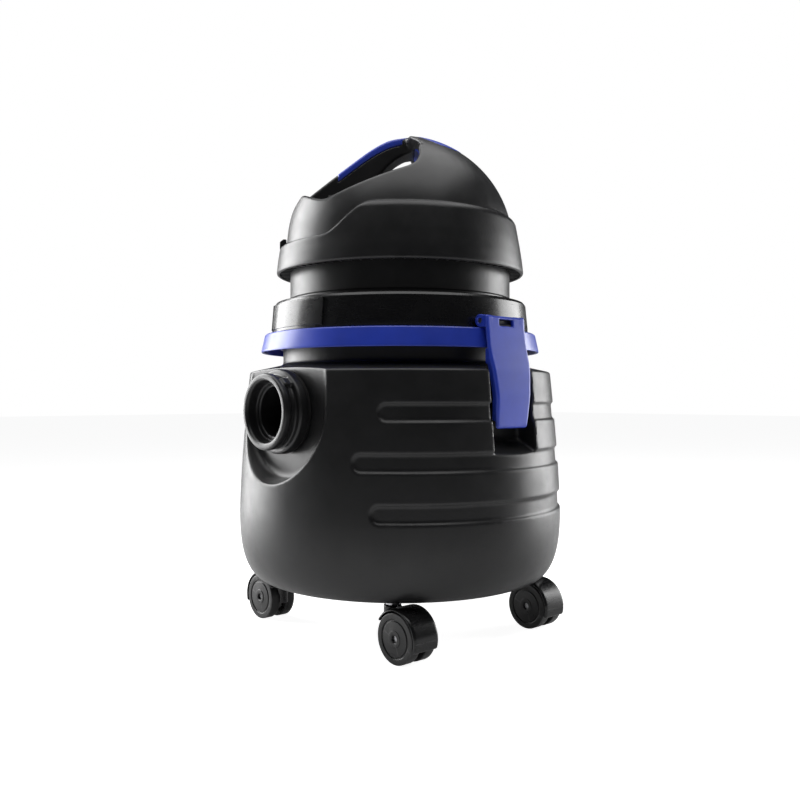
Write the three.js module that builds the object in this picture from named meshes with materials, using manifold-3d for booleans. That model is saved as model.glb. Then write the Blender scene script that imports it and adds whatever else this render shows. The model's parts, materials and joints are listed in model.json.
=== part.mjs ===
// Shop vacuum: a round wet and dry tank on four twin-wheel casters, with a lift-off motor head
// that two side latches hold down. Millimetres, +Z up, origin on the floor under the tank's axis.
// The hose inlet faces -Y and the latches are at +X and -X.
import * as THREE from "three";
import { mergeVertices } from "three/addons/utils/BufferGeometryUtils.js";
import Module from "manifold-3d";

// ---- Driving dimensions -------------------------------------------------------------------

const GAP = 0.3; // between pieces that touch
const FACETS = 36; // sides of a large round piece
const FINE = 16; // sides of a small round piece
const INSIDE = 20; // sides of a round piece inside the casings

const WHEEL_RADIUS = 20;
const WHEEL_WIDTH = 10;
const HOOD_CLEARANCE = 1.2; // between a wheel's tread and its hood
const HOOD_WALL = 1.8;
const CASTER_TRAIL = 16; // from the swivel axis to the axle
const STEM_RADIUS = 4;
const STEM_LENGTH = 26; // above the caster's hood
const AXLE_RADIUS = 2.5;
const CASTER_INSET = 34; // from the tank's widest radius in to the casters' swivel axes

const TANK_RADIUS = 144.4; // at its widest
const TANK_HEIGHT = 178.5; // from the underside to the top edge
const TANK_WALL = 3.5;
const WIDEST = 60; // height of the widest place above the underside
const TOP_TAPER = 9; // how far the side leans in at the top edge
const BASE_ROUND = 28; // radial size of the round bottom edge
const MOUTH_INSET = 38.4; // from the widest radius in to the outside of the tank's neck
const SHOULDER_RISE = 10; // from the top edge to the foot of the neck
const NECK_RISE = 34; // from the top edge to the neck's rim

const GROOVE_DEPTH = 1.6;
const GROOVE_WIDTH = 14;
const GROOVE_PITCH = 0.2157; // share of the tank's height
const GROOVE_DROP = 0.168; // share of the tank's height from the top edge to the first groove
const GROOVE_STARTS = [41, 33, 39]; // degrees from the front, from the top groove down
const GROOVE_END = 152;

const PORT_MARGIN = 1; // from the top edge down to the inlet's barrel
const PORT_BORE = 20; // radius
const PORT_STEP = 5; // how much wider the outer bore's radius is
const PORT_WALL = 4;
const PORT_REACH = 23.5; // from the recess's flat to the inlet's face
const RECESS_DEPTH = 20; // from the widest radius in to the recess's flat
const RECESS_MARGIN = 25; // from the inlet's barrel out to the recess's edge
const RECESS_DRAFT = 0.25;

const COLLAR_OVERHANG = 9.7; // lid collar beyond the tank's neck
const RING_OVERHANG = 9.7; // tank ring's skirt beyond the lid collar
const RING_HEIGHT = 16;
const COLLAR_HEIGHT = 27.7;
const SHELL_WALL = 2.7;

const HEAD_TURN = -42; // degrees the motor head is turned from the inlet
const HEAD_NECK_INSET = 6.3; // from the tank's neck in to the head's
const SKIRT_OVERHANG = 6; // head skirt beyond the tank's neck
const DOME_INSET = 9.3; // from the skirt's rim in to the dome
const DOME_DROP = 26; // dome centre above the skirt's rim
const DOME_FLAT = 0.969; // the dome's height over its radius
const SHOULDER_OVERHANG = 1.9; // shoulder beyond the dome
const SHOULDER_HEIGHT = 48; // of the skirt at the sides and back
const FRONT_SHOULDER = 23; // of the skirt at the front
const DOME_WALL = 3;
const DRAWN_RADIUS = 102.7; // dome radius that the handle and the troughs are drawn for

const GRIP_HALF = 14; // half the carrying handle's width
const INLAY_DEPTH = 2.5;

const LATCH_HALF = 23;
const LATCH_TAIL_HALF = 18.5;
const LATCH_THICK = 3;
const LATCH_LENGTH = 86; // from the pivot to the tail
const LATCH_PIN = 2;
const KNUCKLE = 4.2;
const POCKET_HALF = 25.5;
const POCKET_BACK = 7.5; // from the tank ring's edge in to the pocket's back

const CAGE_SHARE = 0.434; // cage radius as a share of the tank's neck
const CAGE_DEPTH = 0.56; // cage length as a share of the tank's height
const FLOAT_RADIUS = 19;
const EYE_RADIUS = 16; // suction opening in the lid's floor, which the risen float shuts

const FAN_RADIUS = 58;
const FAN_EYE = 28; // radius of the opening in the fan's casing
const FAN_HEIGHT = 30;
const MOTOR_RADIUS = 40;
const MOTOR_HEIGHT = 40;
const SHAFT_RADIUS = 4;
const NECK_SAVING = 44; // how much lower the head's neck is than the fan and motor together

// ---- Sizes that follow from them ----------------------------------------------------------

const MOUTH_RADIUS = TANK_RADIUS - MOUTH_INSET;
const COLLAR_RADIUS = MOUTH_RADIUS + COLLAR_OVERHANG;
const RING_RADIUS = COLLAR_RADIUS + RING_OVERHANG;
const HEAD_NECK_RADIUS = MOUTH_RADIUS - HEAD_NECK_INSET;
const SKIRT_RADIUS = MOUTH_RADIUS + SKIRT_OVERHANG;
const DOME_RADIUS = SKIRT_RADIUS - DOME_INSET;
const SHOULDER_RADIUS = DOME_RADIUS + SHOULDER_OVERHANG;
const DOME_SCALE = DOME_RADIUS / DRAWN_RADIUS;
const PORT_MOUTH = PORT_BORE + PORT_STEP;
const PORT_BARREL = PORT_MOUTH + PORT_WALL;
const RECESS_RADIUS = PORT_BARREL + RECESS_MARGIN;
const CAGE_RADIUS = CAGE_SHARE * MOUTH_RADIUS;
const CAGE_LENGTH = CAGE_DEPTH * TANK_HEIGHT;

const HOOD_RADIUS = WHEEL_RADIUS + HOOD_CLEARANCE + HOOD_WALL;
const HOOD_TOP = WHEEL_RADIUS + HOOD_RADIUS;
const TANK_BOTTOM = HOOD_TOP + 2;
const TANK_TOP = TANK_BOTTOM + TANK_HEIGHT;
const RIM_Z = TANK_TOP + NECK_RISE;
const RING_TOP = RIM_Z + GAP + 3;
const RING_BOTTOM = RING_TOP - RING_HEIGHT;
const LID_Z = RING_TOP + GAP;
const LID_FLOOR = LID_Z + 5;
const COLLAR_TOP = LID_Z + COLLAR_HEIGHT;
const SKIRT_Z = COLLAR_TOP + FAN_HEIGHT + MOTOR_HEIGHT - NECK_SAVING;
const DOME_Z = SKIRT_Z + DOME_DROP;
const PORT_Z = TANK_TOP - PORT_MARGIN - PORT_BARREL;
const RECESS_Y = TANK_RADIUS - RECESS_DEPTH;
const CASTER_OFFSET = (TANK_RADIUS - CASTER_INSET) / Math.SQRT2;
const PIVOT_X = COLLAR_RADIUS + 4;
const PIVOT_Z = LID_Z + 5.2;

// ---- Solids -------------------------------------------------------------------------------

const wasm = await Module();
wasm.setup();

const rad = THREE.MathUtils.degToRad;

function closedMesh(vertProperties, triVerts) {
  return new wasm.Manifold(new wasm.Mesh({ numProp: 3, vertProperties, triVerts }));
}

// A closed three.js geometry as a solid.
function solid(geometry) {
  const source = geometry.index ? geometry.toNonIndexed() : geometry;
  const bare = new THREE.BufferGeometry();
  bare.setAttribute("position", source.getAttribute("position"));
  const merged = mergeVertices(bare, 1e-4);
  return closedMesh(merged.attributes.position.array, new Uint32Array(merged.index.array));
}

// A solid as a three.js geometry.
function geometryOf(body) {
  const mesh = body.getMesh();
  const positions = new Float32Array(mesh.numVert * 3);
  for (let i = 0; i < mesh.numVert; i++)
    positions.set(mesh.vertProperties.subarray(i * mesh.numProp, i * mesh.numProp + 3), i * 3);
  const geometry = new THREE.BufferGeometry();
  geometry.setAttribute("position", new THREE.BufferAttribute(positions, 3));
  geometry.setIndex(new THREE.BufferAttribute(new Uint32Array(mesh.triVerts), 1));
  return geometry;
}

// A solid put in another place, or mirrored, by a matrix.
function moved(body, matrix) {
  const geometry = geometryOf(body).applyMatrix4(matrix);
  const corners = geometry.index.array;
  if (matrix.determinant() < 0)
    for (let i = 0; i < corners.length; i += 3)
      [corners[i], corners[i + 1]] = [corners[i + 1], corners[i]];
  return closedMesh(geometry.attributes.position.array, corners);
}

const shifted = (body, x, y, z) => moved(body, new THREE.Matrix4().makeTranslation(x, y, z));
const turnZ = (body, degrees) => moved(body, new THREE.Matrix4().makeRotationZ(rad(degrees)));
const mirrored = (body) => moved(body, new THREE.Matrix4().makeScale(-1, 1, 1));
const joined = (bodies) => bodies.reduce((whole, body) => whole.add(body));

// A solid turned about the Z axis from [radius, height] points, going counter-clockwise.
function turned(points, facets = FACETS) {
  const ring = points.map(([r, z]) => new THREE.Vector2(r, z));
  const closed = points[0][0] === 0 && points.at(-1)[0] === 0;
  if (!closed) ring.push(ring[0].clone());
  return solid(new THREE.LatheGeometry(ring, facets).rotateX(Math.PI / 2));
}

function extruded(points, depth, matrix) {
  const shape = new THREE.Shape(points.map(([x, y]) => new THREE.Vector2(x, y)));
  const body = new THREE.ExtrudeGeometry(shape, { depth, bevelEnabled: false });
  body.translate(0, 0, -depth / 2);
  if (matrix) body.applyMatrix4(matrix);
  return solid(body);
}

const X = new THREE.Vector3(1, 0, 0);
const Y = new THREE.Vector3(0, 1, 0);
const Z = new THREE.Vector3(0, 0, 1);
const basis = (a, b, c) => new THREE.Matrix4().makeBasis(a, b, c);
const BACKWARD = Y.clone().negate();

// A prism along X from [y, z] points, along Y from [x, z] points, or along Z from [x, y] points.
const alongX = (points, depth) => extruded(points, depth, basis(Y, Z, X));
const alongY = (points, depth) => extruded(points, depth, basis(X, Z, BACKWARD));
const alongZ = (points, low, high) =>
  extruded(points, high - low, new THREE.Matrix4().makeTranslation(0, 0, (low + high) / 2));

function block(x0, x1, y0, y1, z0, z1) {
  const box = new THREE.BoxGeometry(x1 - x0, y1 - y0, z1 - z0);
  return solid(box.translate((x0 + x1) / 2, (y0 + y1) / 2, (z0 + z1) / 2));
}

// A round bar from one point to another.
function bar(radius, from, to, facets = FINE) {
  const a = new THREE.Vector3(...from);
  const b = new THREE.Vector3(...to);
  const length = a.distanceTo(b);
  const rod = new THREE.CylinderGeometry(radius, radius, length, facets);
  const turn = new THREE.Quaternion().setFromUnitVectors(Y, b.clone().sub(a).normalize());
  rod.applyQuaternion(turn);
  const middle = a.add(b).multiplyScalar(0.5);
  return solid(rod.translate(middle.x, middle.y, middle.z));
}

// A wedge that holds everything between two azimuths, measured from the front towards +X.
function sector(from, to, low, high) {
  const reach = 2 * TANK_RADIUS;
  const steps = Math.ceil((to - from) / 30);
  const points = [[0, 0]];
  for (let i = 0; i <= steps; i++) {
    const angle = rad(from + ((to - from) * i) / steps);
    points.push([reach * Math.sin(angle), -reach * Math.cos(angle)]);
  }
  return alongZ(points, low, high);
}

const root = new THREE.Group();
const head = new THREE.Group();
head.rotation.z = rad(HEAD_TURN);
root.add(head);

function add(name, body, finish, group = root) {
  const geometry = geometryOf(body);
  geometry.computeVertexNormals();
  const mesh = new THREE.Mesh(geometry, new THREE.MeshStandardMaterial(finish));
  mesh.name = name;
  group.add(mesh);
}

const BLACK = { color: 0x202123, roughness: 0.55, metalness: 0 };
const GLOSS = { color: 0x121214, roughness: 0.2, metalness: 0 };
const BLUE = { color: 0x2a35c8, roughness: 0.35, metalness: 0 };
const WHEEL = { color: 0x2b2b2d, roughness: 0.6, metalness: 0 };
const STEEL = { color: 0xb4b6b8, roughness: 0.3, metalness: 1 };
const RUBBER = { color: 0x151515, roughness: 0.85, metalness: 0 };
const COPPER = { color: 0xb06a3c, roughness: 0.35, metalness: 1 };
const FOAM = { color: 0x3a3c40, roughness: 0.95, metalness: 0 };
const WHITE = { color: 0xe8e8e4, roughness: 0.5, metalness: 0 };
const CARBON = { color: 0x2c2c2c, roughness: 0.7, metalness: 0 };

// ---- Tank ---------------------------------------------------------------------------------

// The tank's outside radius at a height, without grooves or recesses.
function sideRadius(z) {
  const widest = TANK_BOTTOM + WIDEST;
  if (z >= widest) {
    const share = Math.min(1, (z - widest) / (TANK_TOP - widest));
    return TANK_RADIUS - TOP_TAPER * share ** 1.4;
  }
  const share = (widest - z) / WIDEST;
  return TANK_RADIUS - BASE_ROUND * (1 - (1 - share ** 2.5) ** 0.4);
}

// The tank's profile set in by a wall, from the axis under it to its rim.
function tankProfile(inset, top) {
  const points = [[0, TANK_BOTTOM + inset]];
  const steps = 6;
  for (let i = 0; i <= steps; i++) {
    const z = TANK_BOTTOM + WIDEST * (1 - Math.cos((Math.PI / 2) * (i / steps)));
    points.push([sideRadius(z) - inset, Math.max(z, TANK_BOTTOM + inset + 0.01 * i)]);
  }
  const rise = TANK_TOP - TANK_BOTTOM - WIDEST;
  for (let i = 1; i <= 4; i++) {
    const z = TANK_BOTTOM + WIDEST + (rise * i) / 4 - (i === 4 ? 1.5 : 0);
    points.push([sideRadius(z) - inset, z]);
  }
  points.push([sideRadius(TANK_TOP) - 2 - inset * 0.6, TANK_TOP + 0.5 - inset * 0.8]);
  points.push([MOUTH_RADIUS + 1.5 - inset, TANK_TOP + SHOULDER_RISE - 1 - inset * 0.9]);
  points.push([MOUTH_RADIUS - inset, TANK_TOP + SHOULDER_RISE]);
  points.push([MOUTH_RADIUS - inset, top], [0, top]);
  return points;
}

// The U-shaped recess round the inlet, open at the top, grown by a wall. It widens outwards.
function portRecess(grow) {
  const radius = RECESS_RADIUS + grow;
  const steps = 14;
  const outline = [];
  for (let i = 0; i <= steps; i++) {
    const angle = Math.PI + (Math.PI * i) / steps;
    outline.push(new THREE.Vector2(radius * Math.cos(angle), radius * Math.sin(angle)));
  }
  const top = RIM_Z - PORT_Z;
  outline.push(new THREE.Vector2(radius, top), new THREE.Vector2(-radius, top));
  const depth = RECESS_DEPTH + 12;
  const recess = new THREE.ExtrudeGeometry(new THREE.Shape(outline), { depth, bevelEnabled: false });
  const place = recess.getAttribute("position");
  for (let i = 0; i < place.count; i++) {
    const out = place.getZ(i);
    const scale = 1 + (RECESS_DRAFT * out) / radius;
    place.setXYZ(i, place.getX(i) * scale, -(RECESS_Y - grow) - out, PORT_Z + place.getY(i) * scale);
  }
  return solid(recess);
}

// The pocket behind a latch's tail, with a sloping floor.
function latchPocket(grow) {
  const back = RING_RADIUS - POCKET_BACK - grow;
  const front = TANK_RADIUS + 20;
  const tail = PIVOT_Z - LATCH_LENGTH;
  const high = tail - 10 - grow;
  const points = [[back, high], [front, high - 0.5 * (front - back)], [front, RIM_Z], [back, RIM_Z]];
  return alongY(points, 2 * (POCKET_HALF + grow));
}

// A round-ended groove round one side of the tank, cut to a depth that follows the side.
function groove(index, depth, grow) {
  const middle = TANK_TOP - (GROOVE_DROP + GROOVE_PITCH * index) * TANK_HEIGHT;
  const half = GROOVE_WIDTH / 2 + grow;
  const low = sideRadius(middle - half) - depth;
  const high = sideRadius(middle + half) - depth;
  const outside = TANK_RADIUS + 10;
  const band = turned([[low, middle - half], [outside, middle - half],
    [outside, middle + half], [high, middle + half]]);
  const slant = THREE.MathUtils.radToDeg(half / TANK_RADIUS);
  const start = GROOVE_STARTS[index];
  const lower = sector(start, GROOVE_END, middle - half - 1, middle - half * 0.4);
  const centre = sector(start - slant, GROOVE_END, middle - half * 0.4, middle + half * 0.4);
  const upper = sector(start, GROOVE_END, middle + half * 0.4, middle + half + 1);
  return band.intersect(lower.add(centre).add(upper));
}

function grooves(depth, grow) {
  const right = joined([0, 1, 2].map((index) => groove(index, depth, grow)));
  return right.add(mirrored(right));
}

const SOCKET_DEPTH = STEM_LENGTH - 2;
const corners = [[1, -1], [1, 1], [-1, 1], [-1, -1]];

function socketBosses() {
  const base = TANK_BOTTOM;
  const top = base + SOCKET_DEPTH + 4;
  return joined(corners.map(([sx, sy]) =>
    bar(STEM_RADIUS + 5, [sx * CASTER_OFFSET, sy * CASTER_OFFSET, base],
      [sx * CASTER_OFFSET, sy * CASTER_OFFSET, top])));
}

function socketBores() {
  const top = TANK_BOTTOM + SOCKET_DEPTH;
  return joined(corners.map(([sx, sy]) =>
    bar(STEM_RADIUS + GAP, [sx * CASTER_OFFSET, sy * CASTER_OFFSET, TANK_BOTTOM - 5],
      [sx * CASTER_OFFSET, sy * CASTER_OFFSET, top])));
}

const SPIGOT_RADIUS = PORT_BARREL + 1;
const PORT_FACETS = 24;

function portBar(radius, from, to) {
  return bar(radius, [0, -from, PORT_Z], [0, -to, PORT_Z], PORT_FACETS);
}

function makeTank() {
  const room = turned(tankProfile(TANK_WALL, RIM_Z + 5))
    .subtract(portRecess(TANK_WALL))
    .subtract(latchPocket(TANK_WALL))
    .subtract(mirrored(latchPocket(TANK_WALL)))
    .subtract(socketBosses());
  return turned(tankProfile(0, RIM_Z))
    .subtract(room)
    .subtract(portRecess(0))
    .subtract(latchPocket(0))
    .subtract(mirrored(latchPocket(0)))
    .subtract(grooves(GROOVE_DEPTH, 0))
    .subtract(socketBores())
    .subtract(portBar(SPIGOT_RADIUS + GAP, RECESS_Y - 30, TANK_RADIUS));
}

// The stiff ring on the tank's rim, which the latches hook under.
function makeRing() {
  const skirt = RING_RADIUS;
  const top = RING_RADIUS - 4;
  const inside = MOUTH_RADIUS + GAP;
  const web = RIM_Z + GAP;
  return turned([
    [MOUTH_RADIUS - 2, web], [inside, web], [inside, RING_BOTTOM + 3], [inside + 2.6, RING_BOTTOM + 3],
    [inside + 2.6, web], [top - 3, web], [skirt - 2.8, RING_BOTTOM], [skirt, RING_BOTTOM],
    [skirt, RING_BOTTOM + 1.5], [top + 1, RING_TOP - 1], [top, RING_TOP], [MOUTH_RADIUS - 2, RING_TOP],
  ]);
}

add("tank", makeTank(), BLACK);
add("tank_ring", makeRing(), BLUE);

// ---- Hose inlet ---------------------------------------------------------------------------

const GASKET_THICK = 1.7;
const COLLAR_BACK = RECESS_Y + GAP + GASKET_THICK + GAP;
const PORT_FACE = RECESS_Y + PORT_REACH;
const SPIGOT_END = RECESS_Y - 26;

// A solid turned about the inlet's axis from [radius, distance from the tank's axis] points.
function portTurned(points) {
  const body = turned(points, PORT_FACETS);
  const swing = new THREE.Matrix4().makeRotationX(Math.PI / 2);
  return moved(body, swing.setPosition(0, 0, PORT_Z));
}

function makePort() {
  const collar = SPIGOT_RADIUS + 4.5;
  const tube = portTurned([
    [PORT_BORE, SPIGOT_END], [SPIGOT_RADIUS, SPIGOT_END], [SPIGOT_RADIUS, COLLAR_BACK],
    [collar, COLLAR_BACK], [collar, COLLAR_BACK + 3], [collar - 1.5, COLLAR_BACK + 4.5],
    [PORT_BARREL, COLLAR_BACK + 4.5], [PORT_BARREL, PORT_FACE - 7],
    [PORT_BARREL + 2, PORT_FACE - 6], [PORT_BARREL + 2, PORT_FACE - 1], [PORT_BARREL + 1, PORT_FACE],
    [PORT_MOUTH + 1, PORT_FACE], [PORT_MOUTH, PORT_FACE - 1], [PORT_MOUTH, PORT_FACE - 14],
    [PORT_BORE, PORT_FACE - 14],
  ]);
  const lug = block(PORT_BARREL - 2, PORT_BARREL + 3.5, -PORT_FACE + 5, -PORT_FACE + 15, -4, 4);
  const lugs = [50, 130].map((angle) => moved(lug,
    new THREE.Matrix4().makeRotationY(rad(-angle)).setPosition(0, 0, PORT_Z)));
  return joined([tube, ...lugs]);
}

function makeInletGasket() {
  const back = RECESS_Y + GAP;
  const outside = SPIGOT_RADIUS + 3.5;
  const inside = SPIGOT_RADIUS + GAP;
  return portTurned([[inside, back], [outside, back], [outside, back + GASKET_THICK],
    [inside, back + GASKET_THICK]]);
}

// A cup over the inlet's inner end that turns the air and water down into the tank.
function makeDeflector() {
  const inside = SPIGOT_RADIUS + GAP;
  const outside = inside + 2.5;
  const near = RECESS_Y - TANK_WALL - 9;
  const far = SPIGOT_END - 22;
  const cup = portTurned([[0, far], [outside, far], [outside, near], [inside, near],
    [inside, far + 2.5], [0, far + 2.5]]);
  const mouth = block(-outside, outside, -SPIGOT_END + 1, -far - 2.5, PORT_Z - outside - 1, PORT_Z - 14);
  return cup.subtract(mouth);
}

add("inlet_port", makePort(), BLACK);
add("inlet_gasket", makeInletGasket(), RUBBER);
add("inlet_deflector", makeDeflector(), BLACK);

// ---- Casters ------------------------------------------------------------------------------

const WEB_HALF = 3; // half the plate between the two wheels
const CASTER_HALF = WEB_HALF + GAP + WHEEL_WIDTH;

// The stem stands over the wheels' treads.
const STEM_FOOT = WHEEL_RADIUS + 1 +
  Math.sqrt(WHEEL_RADIUS ** 2 - Math.max(0, CASTER_TRAIL - STEM_RADIUS - GAP) ** 2);

// Caster pieces are made round their own swivel axis, with the axle at +X.
function casterHood() {
  const outer = bar(HOOD_RADIUS, [CASTER_TRAIL, -CASTER_HALF, WHEEL_RADIUS],
    [CASTER_TRAIL, CASTER_HALF, WHEEL_RADIUS]);
  const reach = HOOD_RADIUS + 5;
  const low = block(CASTER_TRAIL - reach, CASTER_TRAIL + reach, -reach, reach, -5, WHEEL_RADIUS + 2);
  const room = bar(HOOD_RADIUS - HOOD_WALL, [CASTER_TRAIL, WEB_HALF, WHEEL_RADIUS],
    [CASTER_TRAIL, CASTER_HALF + 1, WHEEL_RADIUS]);
  const otherRoom = bar(HOOD_RADIUS - HOOD_WALL, [CASTER_TRAIL, -CASTER_HALF - 1, WHEEL_RADIUS],
    [CASTER_TRAIL, -WEB_HALF, WHEEL_RADIUS]);
  const boss = bar(STEM_RADIUS + 3, [0, 0, WHEEL_RADIUS - 4], [0, 0, HOOD_TOP - 0.6]);
  const web = bar(WHEEL_RADIUS - 4, [CASTER_TRAIL, -WEB_HALF, WHEEL_RADIUS],
    [CASTER_TRAIL, WEB_HALF, WHEEL_RADIUS]);
  const clear = bar(WHEEL_RADIUS + HOOD_CLEARANCE, [CASTER_TRAIL, WEB_HALF, WHEEL_RADIUS],
    [CASTER_TRAIL, CASTER_HALF + 1, WHEEL_RADIUS]);
  const otherClear = bar(WHEEL_RADIUS + HOOD_CLEARANCE, [CASTER_TRAIL, -CASTER_HALF - 1, WHEEL_RADIUS],
    [CASTER_TRAIL, -WEB_HALF, WHEEL_RADIUS]);
  const pinHole = bar(AXLE_RADIUS + GAP, [CASTER_TRAIL, -9, WHEEL_RADIUS], [CASTER_TRAIL, 9, WHEEL_RADIUS]);
  const stemHole = bar(STEM_RADIUS + GAP, [0, 0, WHEEL_RADIUS], [0, 0, HOOD_TOP + 5]);
  return outer.subtract(low).subtract(room).subtract(otherRoom)
    .add(web).add(boss.subtract(clear).subtract(otherClear))
    .subtract(pinHole).subtract(stemHole);
}

function casterStem() {
  const foot = STEM_FOOT;
  const shaft = bar(STEM_RADIUS, [0, 0, foot], [0, 0, HOOD_TOP + STEM_LENGTH - 2]);
  const flange = bar(STEM_RADIUS + 2, [0, 0, HOOD_TOP - 0.6 + GAP], [0, 0, HOOD_TOP + 1]);
  return shaft.add(flange);
}

function casterWheel(side) {
  const inner = WEB_HALF + GAP;
  const outer = inner + WHEEL_WIDTH - 0.8;
  const bevel = 1.5;
  const hole = AXLE_RADIUS + GAP;
  const tyre = turned([[hole, inner], [WHEEL_RADIUS, inner], [WHEEL_RADIUS, outer - bevel],
    [WHEEL_RADIUS - bevel, outer], [hole, outer]], FINE);
  const swing = new THREE.Matrix4().makeRotationX(side * -Math.PI / 2);
  return moved(tyre, swing.setPosition(CASTER_TRAIL, 0, WHEEL_RADIUS));
}

function casterAxle() {
  const half = WEB_HALF + WHEEL_WIDTH - 2;
  return bar(AXLE_RADIUS, [CASTER_TRAIL, -half, WHEEL_RADIUS], [CASTER_TRAIL, half, WHEEL_RADIUS]);
}

const cornerNames = ["front_right", "rear_right", "rear_left", "front_left"];
corners.forEach(([sx, sy], index) => {
  const caster = new THREE.Group();
  caster.position.set(sx * CASTER_OFFSET, sy * CASTER_OFFSET, 0);
  caster.rotation.z = sx > 0 ? 0 : Math.PI;
  root.add(caster);
  const name = cornerNames[index];
  add(`caster_stem_${name}`, casterStem(), STEEL, caster);
  add(`caster_hood_${name}`, casterHood(), BLACK, caster);
  add(`caster_axle_${name}`, casterAxle(), STEEL, caster);
  add(`caster_wheel_a_${name}`, casterWheel(1), WHEEL, caster);
  add(`caster_wheel_b_${name}`, casterWheel(-1), WHEEL, caster);
});

// ---- Lid ----------------------------------------------------------------------------------

const DECK_RADIUS = HEAD_NECK_RADIUS + GAP + 0.2;

function collarRadius(z) {
  return COLLAR_RADIUS - (2.2 * (z - LID_Z)) / COLLAR_HEIGHT;
}

function makeLid() {
  const seat = LID_Z + 2.3;
  const spigot = MOUTH_RADIUS - TANK_WALL - 1;
  const wall = SHELL_WALL;
  const lid = turned([
    [EYE_RADIUS, seat], [spigot - 2.7, seat], [spigot - 2.7, seat - 12], [spigot, seat - 12],
    [spigot, seat], [COLLAR_RADIUS - 3.3, seat], [COLLAR_RADIUS - 3.3, LID_Z], [COLLAR_RADIUS, LID_Z],
    [collarRadius(COLLAR_TOP) + 0.1, COLLAR_TOP - 2.5], [collarRadius(COLLAR_TOP) - 2.2, COLLAR_TOP],
    [DECK_RADIUS, COLLAR_TOP], [DECK_RADIUS, COLLAR_TOP - 2.5],
    [collarRadius(COLLAR_TOP) - wall, COLLAR_TOP - 2.5], [COLLAR_RADIUS - wall, LID_FLOOR],
    [EYE_RADIUS, LID_FLOOR],
  ]);
  const knuckle = bar(KNUCKLE, [PIVOT_X, -16, PIVOT_Z], [PIVOT_X, 16, PIVOT_Z]);
  const arm = block(COLLAR_RADIUS - 3, PIVOT_X, -16, 16, PIVOT_Z - 3, PIVOT_Z + KNUCKLE);
  const hole = bar(LATCH_PIN + GAP, [PIVOT_X, -20, PIVOT_Z], [PIVOT_X, 20, PIVOT_Z]);
  const lug = knuckle.add(arm).subtract(hole);
  const room = turned([[0, LID_FLOOR], [COLLAR_RADIUS - wall, LID_FLOOR],
    [collarRadius(COLLAR_TOP) - wall, COLLAR_TOP - 2.5], [0, COLLAR_TOP - 2.5]]);
  return lid.add(lug.add(mirrored(lug)).subtract(room));
}

function makeSeal() {
  const inside = MOUTH_RADIUS - 1.5;
  const outside = COLLAR_RADIUS - 3.3 - GAP;
  return turned([[inside, RING_TOP + GAP], [outside, RING_TOP + GAP],
    [outside, LID_Z + 2], [inside, LID_Z + 2]]);
}

function makeNameplate() {
  const low = LID_Z + 3;
  const high = COLLAR_TOP - 3.5;
  const plate = turned([
    [collarRadius(low) + GAP, low], [collarRadius(low) + GAP + 0.9, low],
    [collarRadius(high) + GAP + 0.9, high], [collarRadius(high) + GAP, high],
  ]);
  return plate.intersect(sector(-27, 15, low - 1, high + 1));
}

add("lid_base", makeLid(), GLOSS);
add("tank_seal", makeSeal(), RUBBER);
add("nameplate", makeNameplate(), GLOSS);

// ---- Latches ------------------------------------------------------------------------------

const CLAW_INSIDE = 17; // claws and ears reach from here to the latch's edge
const CLAW_MIDDLE = (CLAW_INSIDE + LATCH_HALF) / 2;

// The latch's outer face: [distance beyond the ring, height below the pivot].
const LATCH_LINE = [[2.4, -4], [2.6, 2], [4.8, 20], [9.6, 39], [11.7, 60], [9.4, LATCH_LENGTH]];

function makeLatch() {
  const outer = LATCH_LINE.map(([out, down]) => [RING_RADIUS + out, PIVOT_Z - down]);
  const inner = outer.map(([x, z]) => [x - LATCH_THICK, z]).reverse();
  const foot = PIVOT_Z - LATCH_LENGTH - 4;
  const width = alongX([
    [-LATCH_HALF, PIVOT_Z + 8], [-LATCH_HALF - 0.5, PIVOT_Z - 30], [-LATCH_TAIL_HALF, foot],
    [LATCH_TAIL_HALF, foot], [LATCH_HALF + 0.5, PIVOT_Z - 30], [LATCH_HALF, PIVOT_Z + 8],
  ], 4 * TANK_RADIUS);
  const plate = alongY([...outer, ...inner], 3 * LATCH_HALF).intersect(width);
  const face = RING_RADIUS + LATCH_LINE[0][0];
  const ears = [[-LATCH_HALF, -CLAW_INSIDE], [CLAW_INSIDE, LATCH_HALF]].map(([a, b]) => {
    const disc = bar(5, [PIVOT_X, a, PIVOT_Z], [PIVOT_X, b, PIVOT_Z]);
    return disc.add(block(PIVOT_X, face, a, b, PIVOT_Z - 5, PIVOT_Z + 4));
  });
  // Claws under the ring's skirt, clear of it until the latch is pressed home.
  const tip = RING_RADIUS + 0.45;
  const claw = alongY([
    [tip, RING_BOTTOM - 1], [RING_RADIUS + 4, RING_BOTTOM - 1],
    [RING_RADIUS + 7, RING_BOTTOM - 15], [tip + 1.5, RING_BOTTOM - 10],
  ], LATCH_HALF - CLAW_INSIDE);
  const claws = [-CLAW_MIDDLE, CLAW_MIDDLE].map((middle) => shifted(claw, 0, middle, 0));
  const hole = bar(LATCH_PIN + GAP, [PIVOT_X, -30, PIVOT_Z], [PIVOT_X, 30, PIVOT_Z]);
  const window = block(PIVOT_X + KNUCKLE, face + 8, -7.5, 7.5, PIVOT_Z - 3.5, PIVOT_Z + 2);
  return joined([plate, ...ears, ...claws]).subtract(hole).subtract(window);
}

function makeLatchPin() {
  return bar(LATCH_PIN, [PIVOT_X, -LATCH_HALF + 1, PIVOT_Z], [PIVOT_X, LATCH_HALF - 1, PIVOT_Z]);
}

add("latch_right", makeLatch(), BLUE);
add("latch_left", mirrored(makeLatch()), BLUE);
add("latch_pin_right", makeLatchPin(), STEEL);
add("latch_pin_left", mirrored(makeLatchPin()), STEEL);

// ---- Head casings -------------------------------------------------------------------------

const DECK_Z = SKIRT_Z + 2; // top of the motor housing
const PLATE_HOLE = MOTOR_RADIUS + 8;

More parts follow.
